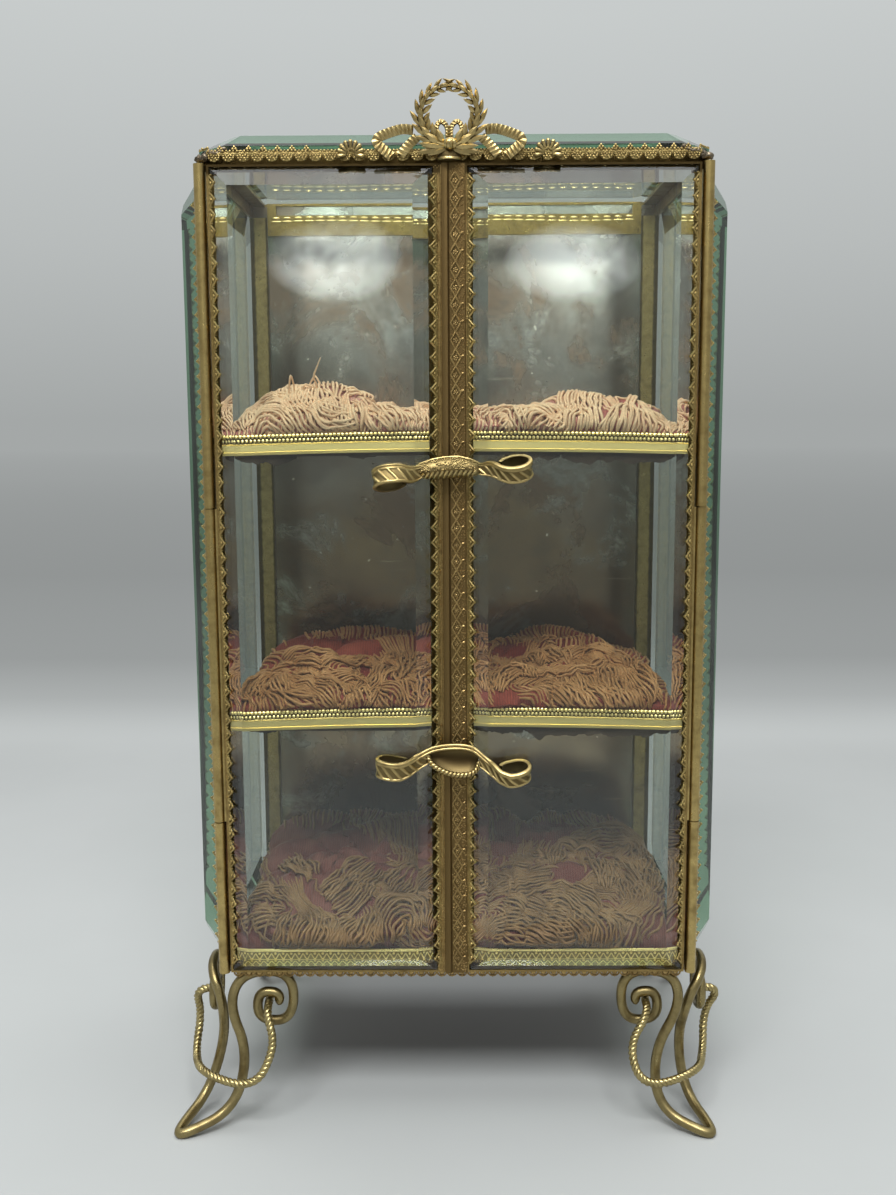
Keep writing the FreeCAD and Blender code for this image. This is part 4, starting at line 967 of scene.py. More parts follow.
def sill():
    low, high = span("sill_rail")
    back, front = high[1], low[1]
    section = ((back, low[2]), (back, high[2] - 0.4), (front + 0.25, high[2] - 0.4), (front + 0.25, low[2]))
    plate = loft([[(x, y, z) for y, z in section] for x in (low[0], high[0])])
    top = tube([(low[0], front + 0.3, high[2] - 0.55), (high[0], front + 0.3, high[2] - 0.55)], 0.5, 10)
    foot = tube([(low[0], front + 0.25, low[2] + 1.7), (high[0], front + 0.25, low[2] + 1.7)], 0.25, 6)
    zone_low, zone_high = low[2] + 2.1, high[2] - 1.5
    count = int((high[0] - low[0]) / LATTICE_PITCH)
    bars = []
    for i in range(count):
        x = low[0] + (i + 0.5) * (high[0] - low[0]) / count
        for side in (-1, 1):
            bars.append(tube([(x - side * LATTICE_PITCH / 2, front + 0.22, zone_low),
                              (x + side * LATTICE_PITCH / 2, front + 0.22, zone_high)], 0.2, 5))
        bars.append(bead((x, front + 0.2, zone_high), (0.42, 0.24, 0.42), 6, 4))
        bars.append(bead((x, front + 0.2, (zone_low + zone_high) / 2), (0.4, 0.26, 0.55), 6, 4))
    shaded_piece("patterned_sill", ((plate, 0.8), (top, 0.0), (merge(foot, *bars), 0.1)), "rail_brass",
                 "case", "sill_rail")


sill()

# %% rear strip
DASH_PITCH = 3.7


def rear_dashes():
    """Twisted dashes along the strip that hangs in front of the mirror's top."""
    half, face = span("upper_shelf_rail")[1][0] - 8.0, span("back_mirror")[0][1] - 0.8
    top = span("top_frame")[1][2] - 4.6
    places = [(x, face, top + 0.25 * math.sin(x * 0.11)) for x in np.arange(-half, half, DASH_PITCH)]
    dash = merge(bead((0, 0, 0), (1.25, 0.3, 0.36), 8, 5), bead((0, 0, -1.1), (1.6, 0.16, 0.2), 6, 4))
    piece("rear_strip_dashes", repeated(dash, places, np.eye(3)), "rail_brass", "case")


rear_dashes()

# %% [markdown]
# ## Torn lining under the shelves
# The shelves are dark card whose paper lining has torn away from the underside and hangs in ragged
# flaps behind the rails. Each flap is a thin strip whose lower edge follows noise.

# %% torn lining
LINING_THICK = 0.35


def torn_flap(x_low, x_high, top, depth, drop, seed):
    """A ragged strip that hangs from top by about drop."""
    sections = []
    for x in np.arange(x_low, x_high, 0.6):
        ends = min(1.0, (x - x_low) / 4, (x_high - x) / 4)
        tear = drop * (0.35 + 0.65 * ends) * (0.75 + 0.8 * noise.noise((x * 0.23, seed, 0.0)))
        tear += 0.5 * noise.noise((x * 1.3, seed, 5.0))
        lean = 0.8 * noise.noise((x * 0.16, seed, 9.0))
        low = top - max(0.3, tear)
        sections.append([(x, depth, top), (x, depth + lean, low), (x, depth + lean + LINING_THICK, low),
                         (x, depth + LINING_THICK, top)])
    return loft(sections)


def torn_lining(prefix, flaps):
    board_low = span(f"{prefix}_shelf_board")[0]
    meshes = [torn_flap(x_low, x_high, board_low[2], board_low[1] + 0.4, drop, seed)
              for x_low, x_high, drop, seed in flaps]
    piece(f"{prefix}_torn_lining", merge(*meshes), "shelf_board", "case")


torn_lining("upper", ((-62, -44, 2.8, 1), (-30, -22, 1.2, 2), (14, 30, 2.0, 3), (30, 62, 3.0, 4)))
torn_lining("lower", ((8, 20, 1.4, 5), (20, 63, 2.4, 6), (-60, -52, 1.0, 7)))

# %% [markdown]
# ## Wire feet
# Each foot is one length of thick wire: a scroll under the front edge, a leg down to the toe, and a
# leg back up to a scroll beside the side edge. A curve object with a bevel would do, but a mesh tube
# can be filed flat under the toe. A few listed points give the runs, and smoothing them gives
# the easy bends of hand-bent wire. Points are distances in from the case corner, and heights.

# %% bent and wound wire


def smooth(points, rounds=4):
    """A bent wire's easy line through the runs of a few given points."""
    points = np.asarray(points, float)
    for _ in range(rounds):
        near, far = 0.75 * points[:-1] + 0.25 * points[1:], 0.25 * points[:-1] + 0.75 * points[1:]
        points = np.vstack([points[:1], np.stack([near, far], 1).reshape(-1, points.shape[1]), points[-1:]])
    return points


def spaced(path, step):
    """The same line with points at an even step."""
    lengths = np.r_[0, np.cumsum(np.linalg.norm(np.diff(path, axis=0), axis=1))]
    places = np.linspace(0, lengths[-1], max(9, int(lengths[-1] / step) + 1))
    return np.stack([np.interp(places, lengths, path[:, k]) for k in range(path.shape[1])], 1)


def wound(path, step, strand, offset, lay, count):
    """Strands wound round a path with points at that step. A lay below zero winds the other way."""
    first, second = side_axes(path)
    strands = []
    for phase in np.arange(count) * 2 * math.pi / count:
        turn = phase + np.arange(len(path)) * step * 2 * math.pi / lay
        line = path + offset * (np.cos(turn)[:, None] * first + np.sin(turn)[:, None] * second)
        strands.append(tube(line, strand, 6))
    return merge(*strands)


print("wire can be bent, evened out and wound")

# %% wire feet
WIRE, TWIST = 1.5, 1.15
TWIST_STEP, TWIST_LAY = 0.28, 4.2
LEG_TOP = 45.5
TOE_LEAN = {True: -1.8, False: 6.0}     # sideways lean of wide and close feet
FRONT_PLANE, SIDE_PLANE = 2.0, -6.0
SCROLL = ((15.0, 34.9), (15.1, 38.9), (8.5, 39.0), (8.4, 29.9), (19.2, 29.8), (19.4, 45.5), (4.5, 45.5))
LEG = ((0.48, -1.44, 36.9), (6.8, -1.68, 21.6), (3.74, -6.0, 5.73), (-10.47, -12.73, 1.3))
HOOK = ((11.8, 4.2, 35.8), (12.1, -4.5, 35.0))
DROP = ((15.6, -6.84, 25.8), (10.27, -11.5, 14.9))
RING_CORNER = (-6.4, -6.4, 17.3)


def swapped(points):
    return [(y, x, z) for x, y, z in points]


def leaned(points, lean):
    return [(x + lean * (1 - z / LEG_TOP), y, z) for x, y, z in points]


def at_corner(points, side_x, side_y):
    corner = span("bottom_frame")[1]
    return np.array([(side_x * (corner[0] - x), side_y * (corner[1] - y), z) for x, y, z in points])


def wire_foot(name, side_x, side_y, lean):
    legs = leaned(LEG + tuple(reversed(swapped(LEG))), lean)
    front = [(x, FRONT_PLANE, z) for x, z in SCROLL]
    beside = [(SIDE_PLANE, y, z) for y, z in SCROLL]
    route = at_corner(front + legs + beside[::-1], side_x, side_y)
    path = spaced(smooth(route), 0.7)
    swell = np.full(len(path), WIRE)
    swell[:3] = swell[-3:][::-1] = WIRE * np.array((0.45, 0.8, 0.95))
    points, faces = tube(path, swell, 14)
    points[:, 2] = np.maximum(points[:, 2], 0.0)
    piece(f"{name}_foot_wire", (points, faces), "wire_brass", "case", f"{name}_foot", crease=50)


def twisted_ring(name, side_x, side_y, lean):
    """Three strands wound round the line of the ring."""
    side_drop, side_hook = swapped(DROP), swapped(HOOK)
    side_drop[0] = (side_drop[0][0] + 0.65 * SIDE_PLANE, *side_drop[0][1:])
    side_hook = [(x + SIDE_PLANE - FRONT_PLANE, y, z) for x, y, z in side_hook]
    hang = leaned(DROP + (RING_CORNER,) + tuple(side_drop[::-1]), lean)
    line = spaced(smooth(at_corner(list(HOOK) + hang + side_hook[::-1], side_x, side_y)), TWIST_STEP)
    ring = wound(line, TWIST_STEP, 0.58 * TWIST, 0.55 * TWIST, TWIST_LAY, 3)
    piece(f"{name}_twisted_ring", ring, "twisted_brass", "case", f"{name}_twist_ring", crease=60)


for depth_name, side_y in (("front", -1), ("rear", 1)):
    for side_name, side_x in (("left", -1), ("right", 1)):
        wire_foot(f"{depth_name}_{side_name}", side_x, side_y, TOE_LEAN[side_x == side_y])
        twisted_ring(f"{depth_name}_{side_name}", side_x, side_y, TOE_LEAN[side_x == side_y])

# %% [markdown]
# ## Turn clasps
# Each clasp is a cast ribbon: two smooth ribs along its upper edge, slanting ridges in a dark field
# below them, and ends that curl back in loops. The arms are a grid swept along a bent line, with ribs
# and ridges as real relief, because they catch the light at any angle. The upper clasp's middle is a
# stippled barrel. The lower one's is a hollow scoop with a rope rim. They were riveted on at different
# tilts, and their loops are bent open by different amounts.

# %% line and relief of an arm
RIBBON = 0.7
LOOP_MIDDLE, LOOP_HALF = (17.3, -54.7), (4.0, 2.4)
CUT_PITCH, CLASP_STEP = 2.6, 0.15


def arm_line():
    """Plan of an arm: forward off the band, along the front of its loop, round the end and back."""
    turn = np.radians(np.linspace(-118, 165, 64))
    loop = np.stack([LOOP_MIDDLE[0] + LOOP_HALF[0] * np.cos(turn),
                     LOOP_MIDDLE[1] + LOOP_HALF[1] * np.sin(turn)], 1)
    waist = smooth([(7.6, -51.6), (9.8, -52.6), (11.8, -54.4), (13.4, -56.0), loop[0]], 3)
    return spaced(np.vstack([waist[:-1], loop]), CLASP_STEP)


def ribbon_relief(along, across, side):
    """Height of the casting: two ribs above, slanting ridges in a sunk field, one rib below."""
    height = np.full_like(across, -0.15)
    for centre, width, tall in ((0.88, 0.14, 0.42), (0.58, 0.14, 0.36), (-0.86, 0.15, 0.42)):
        height = np.maximum(height, tall * np.sqrt(np.clip(1 - ((across - centre) / width) ** 2, 0, 1)))
    ridge = np.clip(np.cos(2 * math.pi * (along / CUT_PITCH + 0.8 * side * across)), 0, 1) ** 1.5
    field = (across > -0.74) & (across < 0.47)
    return np.where(field, np.maximum(height, 0.34 * ridge), height)


print(f"an arm is {len(arm_line()) * CLASP_STEP:.1f} mm long")

# %% clasp arms


def slab(front, back):
    """A closed plate between two grids of points."""
    rows, columns = front.shape[:2]
    size = rows * columns
    border = [(i, 0) for i in range(rows)] + [(rows - 1, j) for j in range(1, columns)]
    border += [(i, columns - 1) for i in range(rows - 2, -1, -1)]
    border += [(0, j) for j in range(columns - 2, 0, -1)]
    faces = []
    for i in range(rows - 1):
        for j in range(columns - 1):
            a = i * columns + j
            faces.append((a, a + 1, a + columns + 1, a + columns))
            faces.append((size + a, size + a + columns, size + a + columns + 1, size + a + 1))
    ring = [i * columns + j for i, j in border]
    for a, b in zip(ring, ring[1:] + ring[:1]):
        faces.append((a, b, size + b, size + a))
    return np.vstack([front.reshape(-1, 3), back.reshape(-1, 3)]), faces


def clasp_arm(side, twist, heights):
    """One arm and how dark its points are painted. Heights give its middle line; the twist turns the loop's
    mouth.
    """
    path = arm_line()
    ahead = headings(path)
    outward = np.stack([ahead[:, 1], -ahead[:, 0]], 1)
    lengths = np.arange(len(path)) * CLASP_STEP
    upper = np.interp(lengths, (0, 4, 9, 19, 27), (1.6, 2.4, 2.8, 2.8, 2.5))
    lower = np.interp(lengths, (0, 4, 9, 16, 27), (1.6, 2.3, 2.8, 2.8, 0.6))
    if twist < 0:
        upper, lower = lower, upper
    across = np.linspace(-1, 1, 41)[None, :]
    relief = ribbon_relief(lengths[:, None] + 0 * across, across + 0 * lengths[:, None], side)
    ease = np.clip((path[:, 0] - path[0, 0]) / 6.5, 0, 1)
    turn = (math.radians(twist) * ease * ease * (3 - 2 * ease))[:, None]
    middle = np.interp(path[:, 0], *zip(*heights))[:, None]
    up = np.where(across > 0, upper[:, None], lower[:, None]) * across
    grids = []
    for depth in (relief + RIBBON / 2, -RIBBON / 2 + 0 * relief):
        x = path[:, 0, None] + outward[:, 0, None] * depth
        y = path[:, 1, None] + outward[:, 1, None] * depth - LOOP_MIDDLE[1]
        turned = y * np.cos(turn) - up * np.sin(turn)
        z = up * np.cos(turn) + y * np.sin(turn)
        grids.append(np.stack([side * x, LOOP_MIDDLE[1] + turned, middle + z], 2))
    deep = np.clip((0.2 - relief) / 0.28, 0, 1)
    inside = np.full(relief.shape, 0.8)
    return slab(*grids), np.concatenate([deep.ravel(), inside.ravel()])


print(f"an arm has {len(clasp_arm(1, 0, ((0, 0), (1, 0)))[1])} points")

# %% barrel of the upper clasp


def bright(mesh):
    """A form with no painted darkness."""
    return mesh, np.zeros(len(mesh[0]))


def barrel_middle(seed):
    """The upper clasp's middle: a full barrel, stippled above, with a band of slanting ridges below."""
    x = np.linspace(-10.5, 8.5, 60)
    top = np.interp(x, (-10.5, -8.5, -5.0, -2, 2, 5.2, 7, 8.5),
                    (1.7, 2.7, 3.5, 3.7, 3.5, 2.4, 1.3, 0.2))
    foot = np.interp(x, (-10.5, -8, -2, 2.7, 6.5, 8.5), (-0.6, -1.6, -2.1, -2.4, -2.4, -1.7))
    v = np.linspace(-1, 1, 21)
    z = (top + foot)[:, None] / 2 + (top - foot)[:, None] / 2 * v
    swell = np.interp(x, (-10.5, -7, 5, 8.5), (1.6, 2.9, 2.9, 1.2))[:, None]
    y = -50.4 - swell * np.sqrt(1 - 0.95 * v[None] ** 2)
    grid = np.stack([x[:, None] + 0 * z, y, z], 2)
    barrel = slab(grid, grid + (0, 0.9, 0))
    chance = random.Random(seed)
    stipple = []
    for _ in range(230):
        i, j = chance.randrange(4, 54), chance.randrange(9, 20)
        place = grid[i, j] + (chance.uniform(-0.15, 0.15), -0.08, 0)
        stipple.append(bead(place, chance.uniform(0.2, 0.32), 5, 3))
    ridges = []
    for i in range(5, 52, 4):
        line = smooth([grid[i, 1], (grid[i, 4] + grid[i + 2, 4]) / 2 + (0, -0.25, 0),
                       grid[i + 4, 8] + (0, -0.1, 0)], 2)
        ridges.append(tube(line, np.linspace(0.34, 0.5, len(line)), 7))
    rim = tube(grid[:, 20] + (0, -0.2, 0), 0.4, 7)
    shade = np.r_[np.full(y.size, 0.55), np.ones(y.size)]
    return [(barrel, shade), bright(merge(*stipple)), bright(merge(*ridges, rim))]


print(f"the barrel is cast in {len(barrel_middle(6))} forms")

# %% scoop of the lower clasp
SCOOP_TOP = ((-11.2, 4.1), (-9.3, 4.8), (-6.8, 6.0), (-4.0, 6.7), (-0.6, 7.0), (2.7, 7.0), (5.5, 6.4),
             (7.3, 5.1), (8.9, 3.7), (11.0, 2.4))
SCOOP_DEEP = 1.8                    # shallow enough to turn over the points of the door's edging
SCOOP_ROPE = ((-7.4, 4.0), (-6.5, 1.8), (-3.4, 0.0), (-0.6, -1.1), (2.5, -1.4), (5.5, -1.0), (7.0, 0.4),
              (7.2, 2.0))


def scoop_middle():
    """The lower clasp's middle: a hollow scoop under an arch of two ribs, with a rope rim below."""
    def arch_line(drop):
        line = spaced(smooth(SCOOP_TOP, 3), 0.4)
        y = np.interp(np.abs(line[:, 0]), (0, 6, 9, 11.2), (-51.6, -51.8, -52.9, -54.1))
        return np.stack([line[:, 0], y - 0.25 * drop, line[:, 1] - drop], 1)

    rim = spaced(smooth(SCOOP_ROPE, 3), 0.4)
    rim_y = np.interp(np.abs(rim[:, 0]), (0, 5, 7.4), (-53.5, -53.2, -51.6))
    rim = np.stack([rim[:, 0], rim_y, rim[:, 1]], 1)
    v = np.linspace(0, 1, 15)[None, :]
    x = np.linspace(-6.9, 7.1, 40)[:, None]
    lower = np.interp(x[:, 0], rim[:, 0], rim[:, 2])[:, None]
    arch = arch_line(0.9)
    upper = np.interp(x[:, 0], arch[:, 0], arch[:, 2])[:, None]
    z = lower + (upper - lower) * v
    hollow = SCOOP_DEEP * np.sin(math.pi * v) ** 0.7 * np.clip(1.15 - (x / 7.4) ** 4, 0.1, 1)
    y = -53.0 + 1.4 * v + hollow
    grid = np.stack([x + 0 * z, y, z], 2)
    bowl = slab(grid, grid + (0, 0.5, 0))
    # painted shade in the bowl, darkest in its middle
    shade = np.r_[(0.55 + 0.4 * np.sin(math.pi * v) + 0 * x).ravel(), np.ones(y.size)]
    ribs = merge(tube(arch_line(0.0), 0.5, 8), tube(arch_line(0.95), 0.42, 8))
    rope = wound(spaced(rim, CLASP_STEP), CLASP_STEP, 0.46, 0.42, -2.2, 2)
    return [(bowl, shade), bright(ribs), bright(rope)]


print(f"the scoop is cast in {len(scoop_middle())} forms")

# %% the two clasps
# for the left and the right arm: its twist in degrees, and (distance from the hub, height) of its middle
UPPER_ARMS = ((-30, ((7, 0.85), (10.5, 0.5), (16, 0.0), (22, 0.0))),
              (38, ((6, -0.1), (8, -0.7), (11, -1.3), (15, -1.6), (22, -1.5))))
LOWER_ARMS = ((12, ((7, 3.3), (9.3, 2.4), (12, 1.4), (15, 1.0), (20, 1.5))),
              (36, ((7.2, 2.7), (8.9, 1.5), (10.5, 0.4), (13, -0.4), (16, -0.7), (20, -0.1))))


def turn_clasp(prefix, tilt, rise, arms, middle):
    low, high = span(f"{prefix}_clasp_spindle")
    hub_x, hub_z = (low[0] + high[0]) / 2, (low[2] + high[2]) / 2
    forms = [clasp_arm(side, *arm) for side, arm in zip((-1, 1), arms)] + middle
    turn = math.radians(tilt)
    axes = ((math.cos(turn), 0, math.sin(turn)), (0, 1, 0), (-math.sin(turn), 0, math.cos(turn)))
    mesh = placed(merge(*[form[0] for form in forms]), (hub_x, 0, hub_z + rise), axes)
    item = piece(f"{prefix}_clasp_ribbon", mesh, "ornament_brass", f"{prefix}_clasp", f"{prefix}_clasp_bow",
                 crease=60)
    store_painted_darkness(item, np.concatenate([form[1] for form in forms]))


turn_clasp("upper", 6.4, 0.0, UPPER_ARMS, barrel_middle(6))
turn_clasp("lower", 0.0, 1.0, LOWER_ARMS, scoop_middle())

# %% [markdown]
# ## Crest
# The crest was cast in one piece: a laurel wreath whose two branches meet at the top, a ribbed bud at
# its foot, two small ribbon arches above the bud and a frilled bow to each side. Leaves are folded
# lens shapes set along the ring in three rows, each a little smaller towards the top. The bow is a
# ribbon swept along a few points, with its frill as relief. A collar holds the bud on the gallery, and
# a small fan shell stands to each side.

# %% wreath
CREST_X, CREST_Z = -1.2, 289.3
WREATH_Y, WREATH_RADIUS = -49.9, 7.6


def crest_point(x, z, y=WREATH_Y):
    """A place on the crest, measured from the middle of the wreath."""
    return np.array((CREST_X + x, y, CREST_Z + z))


def on_ring(angle, radius, y=WREATH_Y):
    return crest_point(radius * math.cos(angle), radius * math.sin(angle), y)


def leaf(root, tip, width, face, thick=0.35, arch=0.0):
    """A pointed leaf folded along its rib. Face is the way it looks."""
    root, tip, face = np.asarray(root, float), np.asarray(tip, float), unit(face)
    across = unit(np.cross(tip - root, face))
    rings = []
    for place, spread in ((0, 0.25), (0.2, 0.8), (0.45, 1.0), (0.75, 0.66), (1, 0.05)):
        centre = root + (tip - root) * place + face * arch * math.sin(math.pi * place)
        half, rib = across * width * spread / 2, face * thick * spread
        rings.append((centre - half, centre + rib, centre + half, centre - rib * 0.6))
    return loft(rings)


def laurel_branch(side, chance):
    """Long pointed leaves up one side of the wreath, large at the foot and small at the top."""
    leaves = []
    count = 9
    for i in range(count):
        grown = i / (count - 1)
        size = 1.3 - 0.62 * grown
        angle = math.radians(-80 + 160 * grown)
        for spread, front, lead in ((2.7, 0.1, 0.0), (-2.2, 0.1, 0.05), (0.4, -0.8, 0.14)):
            start = angle + lead
            stretch = math.radians(27) * size * chance.uniform(0.9, 1.12)
            root = on_ring(start, WREATH_RADIUS + 0.15 * spread, WREATH_Y + 0.2)
            reach = WREATH_RADIUS + spread * size * chance.uniform(0.8, 1.1)
            tip = on_ring(start + stretch, reach, WREATH_Y + front)
            blade = leaf(root, tip, 1.45 * size, (0, -1, 0.1), 0.6, 0.28)
            blade[0][:, 0] = CREST_X + side * (blade[0][:, 0] - CREST_X)
            leaves.append(blade)
    return merge(*leaves)


chance = random.Random(11)
ring_turn = full_turn(64)
ring_core = tube([on_ring(angle, WREATH_RADIUS) for angle in ring_turn], 0.5, 6, True)
wreath = merge(ring_core, laurel_branch(1, chance), laurel_branch(-1, chance))
piece("laurel_wreath", wreath, "ornament_brass", "case", "crest_wreath", crease=40)

# %% bow, bud and arches
BOW_LOOP = ((-9.6, -3.4), (-12.6, -3.0), (-16.0, -4.0), (-19.2, -5.2), (-19.6, -6.6), (-18.2, -8.0),
            (-15.6, -10.2))
BOW_TAIL = ((-8.6, -5.2), (-10.6, -6.9), (-13.2, -9.8))
BOW_ARCH = ((0.5, -5.4), (0.4, -2.6), (2.2, -0.9), (3.6, -2.6), (2.9, -5.2), (1.6, -5.9))
BOW_LEAVES = ((9.0, -9.4, 2.0), (7.4, -7.7, 1.9), (5.8, -10.0, 1.7))      # reach, height of the tip, width
BOW_Y, BOW_STEP = -48.3, 0.12


def frilled_ribbon(points, width, frill, side, lean=0.12, rounds=3):
    """A cast ribbon with cross ribs, leaning a little forward from the plane of the crest."""
    line = spaced(smooth(points, rounds), BOW_STEP)
    ahead = headings(line)
    flat = np.stack([-ahead[:, 1], ahead[:, 0]], 1)
    across = np.linspace(-1, 1, 9)
    slant = np.arange(len(line))[:, None] * BOW_STEP / frill + 0.25 * across[None]
    ribs = 0.42 * np.abs(np.sin(math.pi * slant)) * (1 - 0.55 * across[None] ** 2)
    grids = []
    for depth in (ribs + 0.45, -0.35 + 0 * ribs):
        shift = across[None] * width / 2
        x = line[:, 0, None] + flat[:, 0, None] * (shift * (1 - lean) + depth * lean)
        z = line[:, 1, None] + flat[:, 1, None] * (shift * (1 - lean) + depth * lean)
        y = BOW_Y + shift * lean - depth * (1 - lean)
        grids.append(np.stack([CREST_X + side * x, y + 0 * x, CREST_Z + z], 2))
    return slab(*grids)


def ribbed_bud(centre, radius):
    turn = full_turn(36)
    rings = []
    for tilt in np.linspace(-1.45, 1.45, 11):
        reach = radius * math.cos(tilt) * (1 + 0.13 * np.cos(9 * turn) * math.cos(tilt))
        height = np.full(len(turn), radius * 0.95 * math.sin(tilt))
        rings.append(np.stack([reach * np.cos(turn), reach * np.sin(turn), height], 1))
    return placed(loft(rings), centre, ((1, 0, 0), (0, 0.94, 0.34), (0, -0.34, 0.94)))


parts = []
for side in (-1, 1):
    parts.append(frilled_ribbon(BOW_LOOP, 2.9, 1.15, side, rounds=2))
    parts.append(frilled_ribbon(BOW_TAIL, 2.7, 1.15, side, rounds=2))
    parts.append(frilled_ribbon(BOW_ARCH, 1.5, 0.8, side, 0.3))
    for reach, drop, width in BOW_LEAVES:
        root, tip = crest_point(side * 0.9, -8.4, -49.4), crest_point(side * reach, drop, -48.9)
        parts.append(leaf(root, tip, width, (0, -1, 0.3), 0.6, 0.3))
parts.append(ribbed_bud(crest_point(0.35, -7.2, -50.0), 1.75))
piece("crest_ribbon_bow", merge(*parts), "ornament_brass", "case", "crest_bow", crease=45)

# %% collar and shells
SHELL_RIB = ((1.5, 0.1), (2.3, 0.5), (3.2, 0.4))        # distance from the middle of a shell, and rise


def collar():
    """The socket under the bud: a half cup with a rolled rim, on the front of the gallery."""
    back = span("top_gallery")[0][1]
    low, high = span("top_gallery")[0][2] + 0.15, CREST_Z - 8.6
    turn = np.linspace(math.pi, 2 * math.pi, 15)
    rings = []
    for radius_x, radius_y, z in ((3.0, 2.3, low), (3.1, 2.5, low + 0.9), (2.7, 1.9, high), (2.1, 1.3, high),
                                  (2.2, 1.5, low + 0.9)):
        rings.append([(CREST_X + radius_x * math.cos(a), back + radius_y * math.sin(a), z) for a in turn])
    rim = tube([(CREST_X + 3.05 * math.cos(a), back + 2.4 * math.sin(a), low + 0.35) for a in turn], 0.42, 7)
    # the cup is painted dark as painted shade inside it, and the rim is left bright
    return (loft(rings), 0.85), (rim, 0.0)


def fan_shell(name):
    """A small scallop: ribs that swell outward round an open middle."""
    low, high = span(f"crest_{name}_shell")
    centre = np.array(((low[0] + high[0]) / 2, high[1], low[2] + 1.0))
    parts = []
    for degrees in np.linspace(-98, 98, 9):
        angle = math.radians(degrees)
        way = np.array((math.sin(angle), 0, math.cos(angle)))
        line = smooth([centre + way * place + (0, -0.3 - rise, 0) for place, rise in SHELL_RIB], 2)
        parts.append(tube(line, np.linspace(0.36, 0.62, len(line)), 8))
        parts.append(bead(line[-1], 0.66, 8, 5))
    turn = np.linspace(math.radians(-105), math.radians(105), 16)
    parts.append(tube([centre + (1.5 * math.sin(a), -0.5, 1.5 * math.cos(a)) for a in turn], 0.3, 6))
    piece(f"{name}_fan_shell", merge(*parts), "ornament_brass", "case", f"crest_{name}_shell", crease=40)


shaded_piece("crest_collar", collar(), "ornament_brass", "case")
fan_shell("left")
fan_shell("right")

# %% [markdown]
# ## Solder
# The frame was soldered by hand, and dull lumps of solder pile up where the hinge tubes meet the frame
# corners. Each lump is a ball whose surface is pushed in and out by noise.

# %% solder lumps


def solder_lump(centre, size, seed):
    points, faces = bead((0, 0, 0), 1.0, 14, 10)
    wave = np.array([1 + 0.4 * noise.noise(Vector(point) * 2.2 + Vector((seed, 0, 0))) for point in points])
    return points * wave[:, None] * np.asarray(size) + np.asarray(centre), faces


lumps = []
for i, (name, side) in enumerate((("left", -1), ("right", 1))):
    low, high = span(f"{name}_upper_knuckle")
    x, y = (low[0] + high[0]) / 2, high[1]
    for k in range(9):
        inward, forward = 0.2 + 0.85 * k, min(2.9, 1.2 + 0.4 * k)
        height = high[2] + 1.4 + 0.25 * k + 0.3 * math.sin(5 * k)
        size = (1.5 - 0.07 * k, 1.3 - 0.06 * k, 1.05 - 0.05 * k)
        lumps.append(solder_lump((x - side * inward, y - forward, height), size, 3 * i + k))
    foot = (x - side * 0.6, y + 0.8, span("bottom_frame")[0][2] + 0.5)
    lumps.append(solder_lump(foot, (2.0, 1.2, 1.3), i + 7))
piece("corner_solder", merge(*lumps), "gilt_brass", "case", finish=METALS["solder_grey"], crease=60)

# %% [markdown]
# ## Cushion pads
# Under the silk lie pads of wadding that have slumped into lumps. A block with a displacement would
# look swollen all over. So a pad is lofted through rounded sections along its shelf, and the height of
# each section comes from a few listed lumps: a high heap at the left of the upper shelf, a ridge
# along the back of the lower one, and a full bed on the base. Narrow ridges on it are the long folds
# that the silk has set into.

# %% lumps and folds of the pads
PAD_HEIGHT = {"upper": 8.3, "lower": 9.3, "base": 17.0}
PAD_LUMPS = {       # middle across and in depth, half-width across and in depth, rise
    "upper": (
        (-36, -22, 12, 16, 6.6), (-52, -26, 8, 14, 3.4), (47, -22, 12, 16, 3.0), (24, -24, 12, 14, 1.6)),
    "lower": (
        (-24, 18, 26, 14, 3.6), (30, 18, 18, 14, 4.0), (-48, -12, 15, 18, 2.0), (40, -16, 16, 12, 1.8),
        (-25, -10, 6, 6, -2.0)),
    "base": (
        (-30, 14, 24, 11, 3.0), (6, 20, 20, 10, 3.2), (40, 16, 16, 12, 3.6), (-42, -26, 14, 10, 1.5),
        (28, -26, 18, 10, 1.2), (-4, -20, 10, 14, -2.0)),
}
PAD_RIDGES = {      # both ends of a fold across and in depth, half-width, rise
    "upper": ((-47, -27, -27, -31, 4.0, 1.8), (30, -22, 42, -30, 4.0, 2.4), (-8, -20, 2, -34, 4.0, 2.0)),
    "lower": (
        (-18, 26, -56, 14, 4.0, 3.4), (-14, 10, -34, 2, 3.5, 3.0), (24, 27, 44, 12, 4.0, 3.4),
        (20, 4, 46, 6, 3.0, 2.6), (36, -10, 56, -24, 4.0, 2.4), (-56, -8, -36, -24, 4.0, 2.4)),
    "base": (
        (-14, 29, -58, 14, 4.0, 4.6), (-12, 14, -56, -4, 4.0, 4.2), (-44, -14, -12, -24, 4.5, 3.0),
        (10, 28, 24, 4, 4.5, 3.6), (30, 22, 52, 24, 4.0, 3.4), (30, 4, 56, 8, 4.0, 3.0),
        (12, -16, 40, -22, 4.5, 2.6)),
}
SQUARE = 0.55           # how square the pad's section is, from 1 for round
PAD_SHARE = 0.985       # a pad's width and depth, as shares of its solid's
print({prefix: len(rows) for prefix, rows in PAD_LUMPS.items()}, "lumps")

# %% shapes of the pads


def pad_turn(prefix, v):
    """The turn round a pad's section at v, in even steps of cloth, and the whole way over the pad."""
    low, high = span(f"{prefix}_cushion")
    turn = np.linspace(0, math.pi, 600)
    y = (high[1] - low[1]) / 2 * np.sign(np.cos(turn)) * np.abs(np.cos(turn)) ** SQUARE
    z = PAD_HEIGHT[prefix] * np.sin(turn) ** SQUARE
    run = np.r_[0, np.cumsum(np.hypot(np.diff(y), np.diff(z)))]
    return np.interp(np.asarray(v) * run[-1], run, turn), run[-1]


